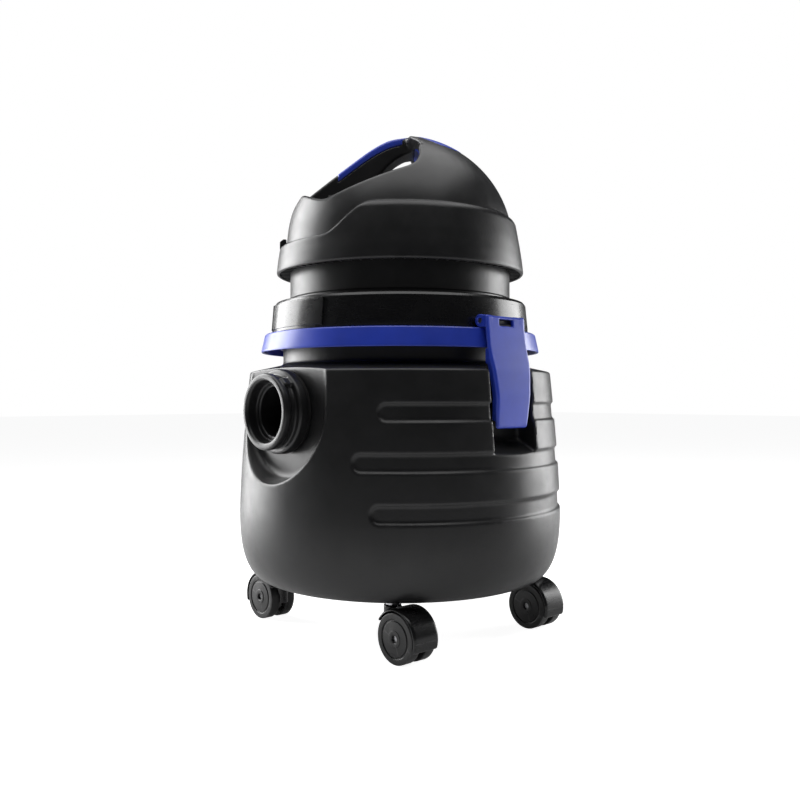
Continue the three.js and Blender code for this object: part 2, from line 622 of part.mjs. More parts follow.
function makeMotorHousing() {
  const housing = turned([
    [HEAD_NECK_RADIUS, LID_FLOOR + GAP], [HEAD_NECK_RADIUS, DECK_Z], [PLATE_HOLE, DECK_Z],
    [PLATE_HOLE, DECK_Z - 2.5], [HEAD_NECK_RADIUS - 2.5, DECK_Z - 2.5],
    [HEAD_NECK_RADIUS - 2.5, LID_FLOOR + GAP],
  ]);
  // Exhaust air rises through these holes and leaves down through the grille.
  const middle = (PLATE_HOLE + HEAD_NECK_RADIUS) / 2;
  const holes = [0, 60, 120, 180, 240, 300].map((angle) =>
    turnZ(bar(12, [middle, 0, DECK_Z - 5], [middle, 0, DECK_Z + 5], 12), angle));
  return housing.subtract(joined(holes));
}

const skirtInside = (z) => {
  const share = Math.min(1, (z - SKIRT_Z) / DOME_DROP);
  return SKIRT_RADIUS - SHELL_WALL - (SKIRT_RADIUS - SHELL_WALL - DOME_RADIUS + DOME_WALL) * share;
};

// Dome and skirt pieces are made with the handle running from the front foot over the crown.

function dome(offset, lowest) {
  const radius = DOME_RADIUS + offset;
  const points = [[0, lowest], [radius, lowest]];
  const steps = 14;
  for (let i = 0; i <= steps; i++) {
    const angle = ((Math.PI / 2) * i) / steps;
    const height = DOME_FLAT * radius * Math.sin(angle);
    points.push([i === steps ? 0 : radius * Math.cos(angle), DOME_Z + height]);
  }
  return turned(points);
}

// Lines and plans of the handle and troughs are drawn on a dome of DRAWN_RADIUS, as places along
// the handle or across it and heights above the dome's centre, and are sized with the dome.
const sized = (points) => points.map(([a, b]) => [a * DOME_SCALE, b * DOME_SCALE]);
const sideView = (points, depth) =>
  shifted(alongX(sized(points), depth * DOME_SCALE), 0, 0, DOME_Z);
const plan = (points, low, high) => alongZ(sized(points), DOME_Z + low, DOME_Z + high);

const ABOVE = 2 * DRAWN_RADIUS; // a height or width over everything on the head

// The handle's top line, as [y, height].
const HANDLE_LINE = [[-98, 33], [-90, 40], [-81, 46.5], [-63, 59.8], [-45, 73.2], [-36, 80], [-27, 86.4],
  [-18, 91.8], [-9, 96], [0, 98.4], [8, 99.4]];

function crown(offset, lowest) {
  const line = HANDLE_LINE.map(([y, z]) => [y, z + offset / DOME_SCALE]);
  const end = line.at(-1)[0];
  const above = sideView([[-160, 10], ...line, [end, ABOVE], [-160, ABOVE]], 2 * ABOVE);
  return dome(offset, lowest).subtract(above);
}

// The troughs' floor, as a height at a place along the handle.
const FLOOR_SLOPE = 0.37;
const FLOOR_RISE = 52;
const floorAt = (y) => FLOOR_RISE + FLOOR_SLOPE * y;

// The troughs beside the handle, open at the top, whose floor slopes up towards the crown.
function troughs(grow) {
  const inner = GRIP_HALF - grow;
  const outer = ABOVE;
  const profile = [
    [-67 - grow, floorAt(-67) - grow], [8 + grow, floorAt(8) - grow], [14 + grow, floorAt(8) + 5 - grow],
    [17 + grow, floorAt(8) + 13], [15 + grow, floorAt(8) + 23], [9 + grow, floorAt(8) + 35],
    [2 + grow, ABOVE], [-110 - grow, ABOVE], [-100 - grow, 56], [-84 - grow, 42],
    [-72 - grow, floorAt(-67) + 5],
  ];
  // The handle flares out where it meets the crown.
  const half = [[inner, -ABOVE], [inner, 0], [inner + 3, 6], [inner + 9, 11], [inner + 20, 15],
    [inner + 46, 18], [outer, 30], [outer, -ABOVE]];
  const right = sideView(profile, 2 * outer).intersect(plan(half, 0, 2 * ABOVE));
  return right.add(mirrored(right));
}

// The handle's underside, as [y, height].
const HAND_LINE = [[-57, 30], [-45, 40], [-36, 48], [-27, 56.5], [-18, 65], [-11, 72.5], [-4.5, 78],
  [3, 82.5], [12, 85.4]];

// The hand hole under the handle, right through from side to side.
function handHole(grow) {
  const under = HAND_LINE.map(([y, z]) => [y, z + grow]);
  const tail = [[15 + grow, floorAt(8) + 23], [17 + grow, floorAt(8) + 13]];
  const floor = [[13 + grow, floorAt(8) + 2 - grow], [0, floorAt(0) - 9 - grow],
    [-20, floorAt(-20) - 13 - grow], [-45, floorAt(-45) - 11 - grow], [-67 - grow, floorAt(-67) - grow]];
  const outline = [...floor.reverse(), ...tail.reverse(), ...under.reverse()];
  return sideView(outline, 2 * (GRIP_HALF + 44 + grow));
}

// The plan of the inlay on the handle and crown: narrow in front, a broad tongue behind.
function inlayPlan(grow) {
  const half = GRIP_HALF - 3 + grow;
  const wide = 46 + grow;
  const side = [[half, 0], [half + 3, 6], [half + 9, 11], [half + 19, 15.5], [wide - 5, 20], [wide, 27],
    [wide, 35], [wide * 0.82, 47], [wide * 0.45, 56 + grow]];
  const mirror = side.map(([x, y]) => [-x, y]).reverse();
  return plan([[-half, -58 - grow], [half, -58 - grow], ...side, ...mirror], 5, 2 * ABOVE);
}

// The space of the inlay's seat, grown by a wall.
function inlaySeat(grow) {
  return crown(8, DOME_Z).subtract(crown(-INLAY_DEPTH - grow, DOME_Z - 1)).intersect(inlayPlan(grow));
}

function makeInlay() {
  return crown(0.7, DOME_Z).subtract(crown(-INLAY_DEPTH, DOME_Z - 1)).intersect(inlayPlan(0));
}

// The shoulder's S from the low front up to the sides, as [y, share of the rise].
const RAMP = [[-64, 0], [-58, 0.06], [-52, 0.24], [-43, 0.55], [-34, 0.83], [-27, 0.96], [-18, 1]];

function makeSkirt() {
  const shoulder = SKIRT_Z + SHOULDER_HEIGHT;
  const skirt = turned([
    [0, SKIRT_Z], [SKIRT_RADIUS - 0.6, SKIRT_Z], [SKIRT_RADIUS, SKIRT_Z + 1.5],
    [SKIRT_RADIUS - 1.2, SKIRT_Z + 12], [SKIRT_RADIUS - 3.4, SKIRT_Z + DOME_DROP],
    [SHOULDER_RADIUS + 0.6, shoulder - 4], [SHOULDER_RADIUS - 1.4, shoulder - 1],
    [SHOULDER_RADIUS - 5, shoulder], [0, shoulder],
  ]);
  const front = SKIRT_Z + FRONT_SHOULDER;
  const rise = shoulder + 0.5 - front;
  const line = RAMP.map(([y, share]) => [y * DOME_SCALE, front + rise * share]);
  const behind = line.at(-1)[0];
  const reach = 2 * SKIRT_RADIUS;
  const above = [[behind, shoulder + 30], [-reach, shoulder + 30]];
  const step = alongX([[-reach, front], ...line, ...above], 2 * reach);
  return skirt.subtract(step);
}

// The block inside the head that the handle's foot stands on.
function gripBlock() {
  const half = GRIP_HALF + DOME_WALL;
  const outline = [[-110, floorAt(-110) - 8], [14, floorAt(14) - 8], [14, ABOVE], [-110, ABOVE]];
  return sideView(outline, 2 * half);
}

function makeHeadShell() {
  const outside = makeSkirt().add(crown(0, SKIRT_Z + 1));
  const lining = dome(-DOME_WALL, DOME_Z);
  const bell = turned([[0, SKIRT_Z - 1], [skirtInside(SKIRT_Z), SKIRT_Z - 1],
    [skirtInside(SKIRT_Z), SKIRT_Z], [skirtInside(DOME_Z), DOME_Z], [0, DOME_Z]]);
  const room = lining.add(bell).subtract(troughs(DOME_WALL)).subtract(handHole(DOME_WALL))
    .subtract(inlaySeat(GAP + DOME_WALL)).subtract(gripBlock());
  const rear = bar(CORD_RADIUS + GAP, [0, SKIRT_RADIUS - 50, CORD_Z], [0, SKIRT_RADIUS + 50, CORD_Z]);
  const cordHole = turnZ(rear, CORD_TURN);
  return outside.subtract(room).subtract(troughs(0)).subtract(handHole(0))
    .subtract(inlaySeat(GAP)).subtract(cordHole);
}

const CORD_RADIUS = 7;
const CORD_Z = SKIRT_Z + 14;
const CORD_TURN = 30; // degrees from the head's rear

function makeCordInlet() {
  const wall = SKIRT_RADIUS;
  const lip = turned([[3.6, wall - 8], [CORD_RADIUS, wall - 8], [CORD_RADIUS, wall + GAP],
    [CORD_RADIUS + 2.5, wall + 0.8], [CORD_RADIUS + 2, wall + 3], [4.6, wall + 3], [3.6, wall + 2]], FINE);
  const swing = new THREE.Matrix4().makeRotationX(-Math.PI / 2);
  return turnZ(moved(lip, swing.setPosition(0, 0, CORD_Z)), CORD_TURN);
}

function makeGrille() {
  const low = DECK_Z + GAP;
  const high = low + 2.5;
  const edge = skirtInside(high) - 0.6;
  const ring = turned([[PLATE_HOLE + 32, low], [edge, low], [edge, high], [PLATE_HOLE + 32, high]]);
  const slots = [];
  const count = 20;
  for (let i = 0; i < count; i++) {
    const slot = block(HEAD_NECK_RADIUS + 1, edge - 1.4, -2.6, 2.6, low - 1, high + 1);
    slots.push(turnZ(slot, (360 * (i + 0.5)) / count));
  }
  return ring.subtract(joined(slots));
}

const COWL_SPREAD = 10; // degrees to each side

// A low cowl over the cooling-air intake, on the ledge in front of the dome.
function makeCowl() {
  const low = SKIRT_Z + FRONT_SHOULDER + GAP;
  const inside = DOME_RADIUS + 0.6;
  const outside = SKIRT_RADIUS - 2.8;
  const cowl = turned([[inside, low], [outside, low], [outside, low + 6], [outside - 3, low + 8.5],
    [inside, low + 8.5]]);
  return cowl.intersect(sector(-COWL_SPREAD, COWL_SPREAD, low - 1, low + 20));
}

add("motor_housing", makeMotorHousing(), BLACK);
add("head_shell", makeHeadShell(), BLACK, head);
add("handle_inlay", makeInlay(), BLUE, head);
add("exhaust_grille", makeGrille(), BLACK, head);
add("cooling_cowl", makeCowl(), BLACK, head);
add("cord_inlet", makeCordInlet(), RUBBER, head);

// ---- Switch -------------------------------------------------------------------------------

const SWITCH_PLACE = [36, -54]; // across the handle and along it
const SWITCH_RISE = 11; // above the troughs' floor
const [SWITCH_X, SWITCH_Y] = SWITCH_PLACE.map((place) => place * DOME_SCALE);
const SWITCH_TOP = DOME_Z + floorAt(SWITCH_PLACE[1]) * DOME_SCALE + SWITCH_RISE;
const ROCKER_HALF = 8;
const ROCKER_TILT = 7;

function makeBezel() {
  const body = block(SWITCH_X - 8, SWITCH_X + 8, SWITCH_Y - 12, SWITCH_Y + 12, SWITCH_TOP - 20, SWITCH_TOP);
  const under = sideView([[-150, floorAt(-150) + GAP], [100, floorAt(100) + GAP], [100, -50], [-150, -50]],
    2 * ABOVE);
  const well = block(SWITCH_X - 5.8, SWITCH_X + 5.8, SWITCH_Y - 9.5, SWITCH_Y + 9.5,
    SWITCH_TOP - 6, SWITCH_TOP + 1);
  return body.subtract(under).subtract(well);
}

function makeRocker() {
  const profile = [[-ROCKER_HALF, 0.5], [-ROCKER_HALF + 2, -2.5], [0, -4.5], [ROCKER_HALF - 2, -2.5],
    [ROCKER_HALF, 0.5], [ROCKER_HALF, 1.6], [0, 0.2], [-ROCKER_HALF, 1.6]];
  const tilt = new THREE.Matrix4().makeRotationX(rad(-ROCKER_TILT));
  const rocker = moved(alongX(profile, 10.6), tilt);
  return shifted(rocker, SWITCH_X, SWITCH_Y, SWITCH_TOP);
}

add("switch_bezel", makeBezel(), GLOSS, head);
add("power_switch", makeRocker(), GLOSS, head);

// ---- Motor and fan ------------------------------------------------------------------------

const FAN_Z = LID_FLOOR + GAP + 2 + GAP; // underside of the fan's casing, on its gasket
const STACK_Z = FAN_Z + FAN_HEIGHT + 10; // underside of the field core
const BRACKET_Z = STACK_Z + MOTOR_HEIGHT + 4;

function makeMotorGasket() {
  return turned([[FAN_RADIUS - 8, LID_FLOOR + GAP], [FAN_RADIUS, LID_FLOOR + GAP],
    [FAN_RADIUS, LID_FLOOR + GAP + 2], [FAN_RADIUS - 8, LID_FLOOR + GAP + 2]], INSIDE);
}

function makeFanShroud() {
  const wall = 1.5;
  const top = FAN_Z + FAN_HEIGHT;
  const shroud = turned([
    [FAN_EYE, FAN_Z], [FAN_RADIUS, FAN_Z], [FAN_RADIUS, top], [12.5, top],
    [12.5, top - 3], [FAN_RADIUS - wall, top - 3], [FAN_RADIUS - wall, FAN_Z + wall],
    [FAN_EYE, FAN_Z + wall],
  ], INSIDE);
  const outlets = [0, 60, 120, 180, 240, 300].map((angle) =>
    turnZ(block(FAN_RADIUS - 6, FAN_RADIUS + 4, -9, 9, top - 16, top - 5), angle));
  return shroud.subtract(joined(outlets));
}

function makeImpeller() {
  const low = FAN_Z + 4;
  const reach = FAN_RADIUS - 6;
  const disc = turned([[SHAFT_RADIUS + GAP, low + 16], [reach, low + 16], [reach, low + 18],
    [12, low + 18], [12, low + 19], [SHAFT_RADIUS + GAP, low + 19]], INSIDE);
  const shroud = turned([[FAN_EYE - 4, low], [FAN_EYE, low], [reach, low + 8], [reach, low + 9.5],
    [FAN_EYE - 4, low + 2]], INSIDE);
  const blades = [];
  const count = 7;
  for (let i = 0; i < count; i++) {
    const blade = extruded([[16, -1], [30, 2], [reach - 1, 14], [reach - 2, 16], [29, 4], [16, 1]], 15.5);
    const lifted = shifted(blade, 0, 0, low + 8.75);
    const under = turned([[0, low - 5], [FAN_EYE, low - 5], [FAN_EYE, low + 1], [reach, low + 9],
      [reach + 9, low + 9], [reach + 9, low + 17], [0, low + 17]], INSIDE);
    blades.push(turnZ(lifted.intersect(under), (360 * i) / count));
  }
  return joined([disc, shroud, ...blades]);
}

function makeRotor() {
  const low = FAN_Z + 6; // clear of the risen float
  const top = BRACKET_Z + 7;
  return turned([
    [0, low], [SHAFT_RADIUS, low], [SHAFT_RADIUS, STACK_Z + 2], [24, STACK_Z + 2],
    [24, STACK_Z + MOTOR_HEIGHT - 14], [13, STACK_Z + MOTOR_HEIGHT - 14],
    [13, STACK_Z + MOTOR_HEIGHT], [SHAFT_RADIUS, STACK_Z + MOTOR_HEIGHT], [SHAFT_RADIUS, top], [0, top],
  ], FINE);
}

function makeStator() {
  const high = STACK_Z + MOTOR_HEIGHT - 12;
  return turned([[25, STACK_Z], [MOTOR_RADIUS, STACK_Z], [MOTOR_RADIUS, high], [25, high]], FINE);
}

function makeBearing(z) {
  return turned([[SHAFT_RADIUS + GAP, z], [10.5, z], [10.5, z + 6], [SHAFT_RADIUS + GAP, z + 6]], FINE);
}

// The bracket that holds the field core over the fan and carries the upper bearing.
function makeBracket() {
  const top = BRACKET_Z + 8;
  const outside = MOTOR_RADIUS + 3.2;
  const inside = MOTOR_RADIUS + GAP;
  const cup = turned([
    [inside, FAN_Z + FAN_HEIGHT + GAP], [outside, FAN_Z + FAN_HEIGHT + GAP], [outside, top], [8, top],
    [8, top - 2], [10.8, top - 2], [10.8, BRACKET_Z - 1], [14, BRACKET_Z - 1],
    [14, top - 2.5], [inside, top - 2.5],
  ], FINE);
  const windows = [30, 90, 150, 210, 270, 330].map((angle) =>
    turnZ(block(MOTOR_RADIUS - 5, MOTOR_RADIUS + 8, -8, 8, STACK_Z + 4, BRACKET_Z - 4), angle));
  return cup.subtract(joined(windows));
}

function makeBrush(side) {
  const z = STACK_Z + MOTOR_HEIGHT - 7;
  const near = 13.6;
  const far = MOTOR_RADIUS - 1;
  return side > 0 ? block(near, far, -3.5, 3.5, z - 4, z + 4) : block(-far, -near, -3.5, 3.5, z - 4, z + 4);
}

add("motor_gasket", makeMotorGasket(), RUBBER);
add("fan_shroud", makeFanShroud(), STEEL);
add("impeller", makeImpeller(), STEEL);
add("motor_rotor", makeRotor(), COPPER);
add("motor_stator", makeStator(), STEEL);
add("bearing_lower", makeBearing(FAN_Z + FAN_HEIGHT - 3 - 3), STEEL);
add("bearing_upper", makeBearing(BRACKET_Z - 0.5), STEEL);
add("motor_bracket", makeBracket(), BLACK);
add("brush_right", makeBrush(1), CARBON);
add("brush_left", makeBrush(-1), CARBON);

// ---- Filter and float ---------------------------------------------------------------------

const CAGE_TOP = LID_Z + 2.3 - GAP;
const CAGE_FOOT = CAGE_TOP - CAGE_LENGTH;

function makeCage() {
  const wall = 2.5;
  const cage = turned([
    [8, CAGE_FOOT], [CAGE_RADIUS, CAGE_FOOT], [CAGE_RADIUS, CAGE_TOP - 4], [CAGE_RADIUS + 6, CAGE_TOP - 4],
    [CAGE_RADIUS + 6, CAGE_TOP], [CAGE_RADIUS - wall, CAGE_TOP], [CAGE_RADIUS - wall, CAGE_FOOT + wall],
    [8, CAGE_FOOT + wall],
  ], INSIDE);
  const across = block(-CAGE_RADIUS - 5, CAGE_RADIUS + 5, -8, 8, CAGE_FOOT + 12, CAGE_TOP - 22);
  const windows = [];
  for (let i = 0; i < 4; i++)
    windows.push(turnZ(across, 45 * i));
  return cage.subtract(joined(windows));
}

function makeSleeve() {
  const inside = CAGE_RADIUS + 0.5;
  return turned([[inside, CAGE_FOOT + 2], [inside + 9, CAGE_FOOT + 2], [inside + 9, CAGE_TOP - 8],
    [inside, CAGE_TOP - 8]], INSIDE);
}

function makeBand() {
  const inside = CAGE_RADIUS + 9.5 + GAP;
  return turned([[inside, CAGE_TOP - 18], [inside + 1.8, CAGE_TOP - 18], [inside + 1.8, CAGE_TOP - 12],
    [inside, CAGE_TOP - 12]], INSIDE);
}

function makeFloat() {
  const ball = new THREE.SphereGeometry(FLOAT_RADIUS, FINE, 8);
  return solid(ball.rotateX(Math.PI / 2).translate(0, 0, CAGE_FOOT + 2.5 + GAP + FLOAT_RADIUS));
}

add("filter_cage", makeCage(), BLACK);
add("filter_sleeve", makeSleeve(), FOAM);
add("filter_band", makeBand(), RUBBER);
add("float_ball", makeFloat(), WHITE);

export default root;
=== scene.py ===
"""Looks of the shop vacuum: fine surfaces, materials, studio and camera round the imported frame.

Shapes are worked out in millimetres and scaled to metres when a mesh is made. The moulded pieces are
signed distance fields, negative inside, that are turned into smooth quad meshes.
"""

import json
import math

import bpy
import numpy as np
from mathutils import Matrix, Vector


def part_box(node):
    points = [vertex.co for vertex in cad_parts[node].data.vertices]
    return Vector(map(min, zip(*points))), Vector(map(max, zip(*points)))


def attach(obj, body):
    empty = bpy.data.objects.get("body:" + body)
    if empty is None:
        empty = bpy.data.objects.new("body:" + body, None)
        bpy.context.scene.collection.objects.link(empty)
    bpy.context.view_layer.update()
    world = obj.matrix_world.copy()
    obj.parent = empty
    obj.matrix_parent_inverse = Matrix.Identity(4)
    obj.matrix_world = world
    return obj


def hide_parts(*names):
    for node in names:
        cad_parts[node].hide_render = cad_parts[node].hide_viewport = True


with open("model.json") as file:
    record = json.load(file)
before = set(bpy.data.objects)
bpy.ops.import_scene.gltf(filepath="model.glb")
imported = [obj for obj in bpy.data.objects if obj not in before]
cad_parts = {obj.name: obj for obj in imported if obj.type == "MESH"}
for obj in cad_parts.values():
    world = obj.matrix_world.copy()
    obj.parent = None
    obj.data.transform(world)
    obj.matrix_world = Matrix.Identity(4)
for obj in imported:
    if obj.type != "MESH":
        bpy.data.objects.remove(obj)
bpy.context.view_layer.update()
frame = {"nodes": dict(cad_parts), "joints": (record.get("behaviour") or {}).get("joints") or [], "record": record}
SLOT_OF = {part["node"]: part["material_slot"] for part in frame["record"]["subparts"]}
JOINTS = {joint["name"]: joint for joint in frame["joints"]}

MM = 0.001


def edges(node):
    """A node's lowest and highest corner, in millimetres."""
    low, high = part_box(node)
    return [value / MM for value in low], [value / MM for value in high]


# ---- Sizes from the frame ------------------------------------------------------------------

(_, _, TANK_BOTTOM), (TANK_RADIUS, _, RIM_Z) = edges("tank")
(_, _, RING_BOTTOM), (RING_RADIUS, _, RING_TOP) = edges("tank_ring")
(_, PORT_FACE, PORT_LOW), (COLLAR_HALF, PORT_BACK, PORT_HIGH) = edges("inlet_port")
(_, _, _), (_, COLLAR_RADIUS, COLLAR_TOP) = edges("lid_base")
(_, _, NECK_BOTTOM), (NECK_RADIUS, _, DECK_Z) = edges("motor_housing")
(_, _, SKIRT_Z), (SKIRT_RADIUS, _, _) = edges("head_shell")
(_, _, LATCH_TAIL), (_, LATCH_HALF, _) = edges("latch_right")
PIVOT_X, _, PIVOT_Z = (value / MM for value in JOINTS["latch_right_hinge"]["pos_m"])
CASTER_X, _, _ = (value / MM for value in JOINTS["caster_swivel_front_right"]["pos_m"])

PORT_Z = (PORT_LOW + PORT_HIGH) / 2
MOUTH_RADIUS = RING_RADIUS - 19.4
NECK_FOOT = RIM_Z - 34
TANK_TOP = NECK_FOOT + 4
TANK_WALL = 3.5
RECESS_Y = -PORT_FACE - 23.5
RECESS_RADIUS = 54
RECESS_DRAFT = 0.25
LID_Z = RING_TOP + 0.3
DOME_Z = SKIRT_Z + 26
DOME_RADIUS = SKIRT_RADIUS - 9.3
DOME_FLAT = 0.969
HEAD_TURN = math.radians(-42)
CORD_TURN = math.radians(30)


# ---- Fields --------------------------------------------------------------------------------


def smax(a, b, blend):
    """The larger of two fields, rounded where they meet."""
    near = np.maximum(blend - np.abs(a - b), 0) / blend
    return np.maximum(a, b) + near * near * blend / 4


def smin(a, b, blend):
    return -smax(-a, -b, blend)


def softened(values, passes):
    """Values with their corners rounded by repeated averaging with their neighbours."""
    for _ in range(passes):
        for axis in range(values.ndim):
            before = np.take(values, [0], axis)
            after = np.take(values, [-1], axis)
            count = values.shape[axis]
            padded = np.concatenate([before, values, after], axis)
            low = np.take(padded, range(count), axis)
            high = np.take(padded, range(2, count + 2), axis)
            values = values / 2 + (low + high) / 4
    return values


class Outline:
    """Signed distance to a closed outline in a plane, looked up from a fine grid."""

    STEP = 0.5

    def __init__(self, points, rounding=1.0, margin=14):
        corners = np.array(points, float)
        self.low = corners.min(0) - margin
        high = corners.max(0) + margin
        u, v = (np.arange(a, b, self.STEP) for a, b in zip(self.low, high))
        u, v = np.meshgrid(u, v, indexing="ij")
        nearest = np.full(u.shape, np.inf)
        inside = np.zeros(u.shape, bool)
        for a, b in zip(corners, np.roll(corners, -1, 0)):
            along = b - a
            share = ((u - a[0]) * along[0] + (v - a[1]) * along[1]) / max(along @ along, 1e-9)
            share = np.clip(share, 0, 1)
            away = (u - a[0] - share * along[0]) ** 2 + (v - a[1] - share * along[1]) ** 2
            nearest = np.minimum(nearest, away)
            if a[1] != b[1]:
                crosses = (a[1] > v) != (b[1] > v)
                inside ^= crosses & (u < a[0] + (v - a[1]) * along[0] / along[1])
        distance = np.where(inside, -1, 1) * np.sqrt(nearest)
        passes = int(2 * (rounding / self.STEP) ** 2)
        self.values = softened(distance, passes).astype(np.float32)

    def __call__(self, u, v):
        u, v = np.broadcast_arrays(u, v)
        places = []
        for value, low, count in zip((u, v), self.low, self.values.shape):
            place = np.clip((value - low) / self.STEP, 0, count - 1.001)
            whole = place.astype(np.int32)
            places.append((whole, (place - whole).astype(np.float32)))
        (i, s), (j, t) = places
        table = self.values
        low = table[i, j] * (1 - s) + table[i + 1, j] * s
        high = table[i, j + 1] * (1 - s) + table[i + 1, j + 1] * s
        return low * (1 - t) + high * t


def smooth_line(points, reach=9):
    """A function through [place, height] points with its corners rounded over a reach."""
    places, heights = zip(*points)
    fine = np.arange(-260.0, 261.0)
    window = np.hanning(2 * reach + 3)[1:-1]
    padded = np.pad(np.interp(fine, places, heights), reach, mode="edge")
    rounded = np.convolve(padded, window / window.sum(), "valid")
    return lambda place: np.interp(place, fine, rounded)


def rounded_box(x, y, z, low, high, radius):
    """Distance to a box with rounded edges."""
    gaps = [
        np.maximum(a - value, value - b) + radius for value, a, b in zip((x, y, z), low, high)
    ]
    outside = np.sqrt(sum(np.maximum(gap, 0) ** 2 for gap in gaps))
    inside = np.minimum(np.maximum(np.maximum(gaps[0], gaps[1]), gaps[2]), 0)
    return outside + inside - radius


# ---- Meshes --------------------------------------------------------------------------------


def new_object(name, vertices, faces, material, body, nodes=(), crease=35):
    """A smooth-shaded mesh object from millimetre vertices, riding on a body."""
    mesh = bpy.data.meshes.new(name)
    places = (np.asarray(vertices, float) * MM).tolist()
    mesh.from_pydata(places, [], [list(map(int, face)) for face in faces])
    mesh.validate()
    mesh.shade_smooth()
    mesh.set_sharp_from_angle(angle=math.radians(crease))
    mesh.materials.append(MATERIALS[material])
    shown = bpy.data.objects.new(name, mesh)
    bpy.context.scene.collection.objects.link(shown)
    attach(shown, body)
    if nodes:
        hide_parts(*nodes)
    return shown


CUBE = np.array([[i, j, k] for i in (0, 1) for j in (0, 1) for k in (0, 1)])
CUBE_EDGES = [(a, b) for a in range(8) for b in range(a + 1, 8) if abs(CUBE[a] - CUBE[b]).sum() == 1]


def crossings(values, cells):
    """For each cell the mean of the places where the surface crosses its edges, as shares of a cell."""
    corner = np.stack([values[tuple((cells + offset).T)] for offset in CUBE], 1)
    total = np.zeros((len(cells), 3))
    count = np.zeros(len(cells))
    for a, b in CUBE_EDGES:
        va, vb = corner[:, a], corner[:, b]
        crossed = (va < 0) != (vb < 0)
        share = np.where(crossed, va / np.where(crossed, va - vb, 1), 0)[:, None]
        place = CUBE[a] + share * (CUBE[b] - CUBE[a])
        total += np.where(crossed[:, None], place, 0)
        count += crossed
    return total / count[:, None]


def surface(field, low, high, cell):
    """Vertices and quads round the zero level of a field inside a box."""
    low = np.array(low, float)
    x, y, z = (np.arange(a, b + cell, cell) for a, b in zip(low, high))
    grid = np.meshgrid(x, y, z, indexing="ij", sparse=True)
    values = np.asarray(field(*grid), np.float32)
    inside = values < 0
    filled = sum(
        inside[i : inside.shape[0] - 1 + i, j : inside.shape[1] - 1 + j, k : inside.shape[2] - 1 + k]
        .astype(np.int8)
        for i, j, k in CUBE
    )
    cells = np.argwhere((filled > 0) & (filled < 8))
    index = np.full(filled.shape, -1, np.int64)
    index[tuple(cells.T)] = np.arange(len(cells))
    vertices = low + (cells + crossings(values, cells)) * cell
    vertices = settled(field, vertices, cell)
    faces = []
    for axis in range(3):
        ahead = np.take(inside, range(1, inside.shape[axis]), axis)
        behind = np.take(inside, range(inside.shape[axis] - 1), axis)
        crossed = np.argwhere(ahead != behind)
        side, up = np.roll(np.eye(3, dtype=int), -axis, 0)[1:]
        crossed = crossed[(crossed[:, side.argmax()] > 0) & (crossed[:, up.argmax()] > 0)]
        leaving = behind[tuple(crossed.T)]
        corners = [crossed, crossed - side, crossed - side - up, crossed - up]
        quads = np.stack([index[tuple(corner.T)] for corner in corners], 1)
        quads[~leaving] = quads[~leaving, ::-1]
        faces.append(quads)
    return vertices, np.concatenate(faces)


def settled(field, vertices, cell):
    """Vertices moved onto the field's zero level."""
    step = 0.05 * cell
    for _ in range(3):
        x, y, z = vertices.T
        value = np.asarray(field(x, y, z), float)
        slope = np.stack([
            field(x + step, y, z) - field(x - step, y, z),
            field(x, y + step, z) - field(x, y - step, z),
            field(x, y, z + step) - field(x, y, z - step),
        ], 1) / (2 * step)
        length = np.maximum((slope**2).sum(1), 0.1)
        move = -slope * (value / length)[:, None]
        size = np.maximum(np.linalg.norm(move, axis=1), 1e-9)
        move *= np.minimum(1, 0.4 * cell / size)[:, None]
        vertices = vertices + move
    return vertices


def turn(vertices, angle):
    """Vertices turned about the vertical axis."""
    return vertices @ np.array(Matrix.Rotation(angle, 3, "Z")).T


def rounded(points, radius, steps=4):
    """A closed outline with each corner replaced by an arc."""
    result = []
    corners = [Vector(point) for point in points]
    for index, corner in enumerate(corners):
        before = corners[index - 1] - corner
        after = corners[(index + 1) % len(corners)] - corner
        angle = before.angle(after)
        if angle > math.radians(172):
            result.append(corner)
            continue
        reach = min(radius / math.tan(angle / 2), 0.45 * before.length, 0.45 * after.length)
        start = corner + before.normalized() * reach
        end = corner + after.normalized() * reach
        for step in range(steps + 1):
            t = step / steps
            result.append(start.lerp(corner, t).lerp(corner.lerp(end, t), t))
    return [tuple(point) for point in result]


def lathe(points, radius=0.8, segments=160, start=0.0, end=360.0):
    """Vertices and faces of a closed [radius, height] outline turned about the vertical axis."""
    profile = np.array(rounded(points, radius))
    whole = end - start >= 360
    angles = np.radians(np.linspace(start, end, segments + 1))
    if whole:
        angles = angles[:-1]
    r, z = profile.T
    rings = [np.stack([r * math.sin(a), -r * math.cos(a), z], 1) for a in angles]
    count = len(profile)
    faces = []
    for i in range(segments):
        a = i * count
        b = ((i + 1) % len(angles)) * count
        for j in range(count):
            k = (j + 1) % count
            faces.append([a + j, b + j, b + k, a + k])
    if not whole:
        faces.append(list(range(count))[::-1])
        faces.append([segments * count + j for j in range(count)])
    return np.concatenate(rings), outward(profile, faces)


def outward(profile, faces):
    """Faces of a turned outline, facing out whichever way round the outline goes."""
    x, y = profile.T
    area = (x * np.roll(y, -1) - y * np.roll(x, -1)).sum()
    return faces if area > 0 else [face[::-1] for face in faces]


# ---- Materials -----------------------------------------------------------------------------


def node(tree, kind, **settings):
    """A shader node. Settings named after an input set that input, and others an attribute."""
    made = tree.nodes.new(kind)
    for key, value in settings.items():
        name = key.replace("_", " ")
        socket = made.inputs.get(name)
        if socket is not None:
            socket.default_value = value
        else:
            setattr(made, key, value)
    return made


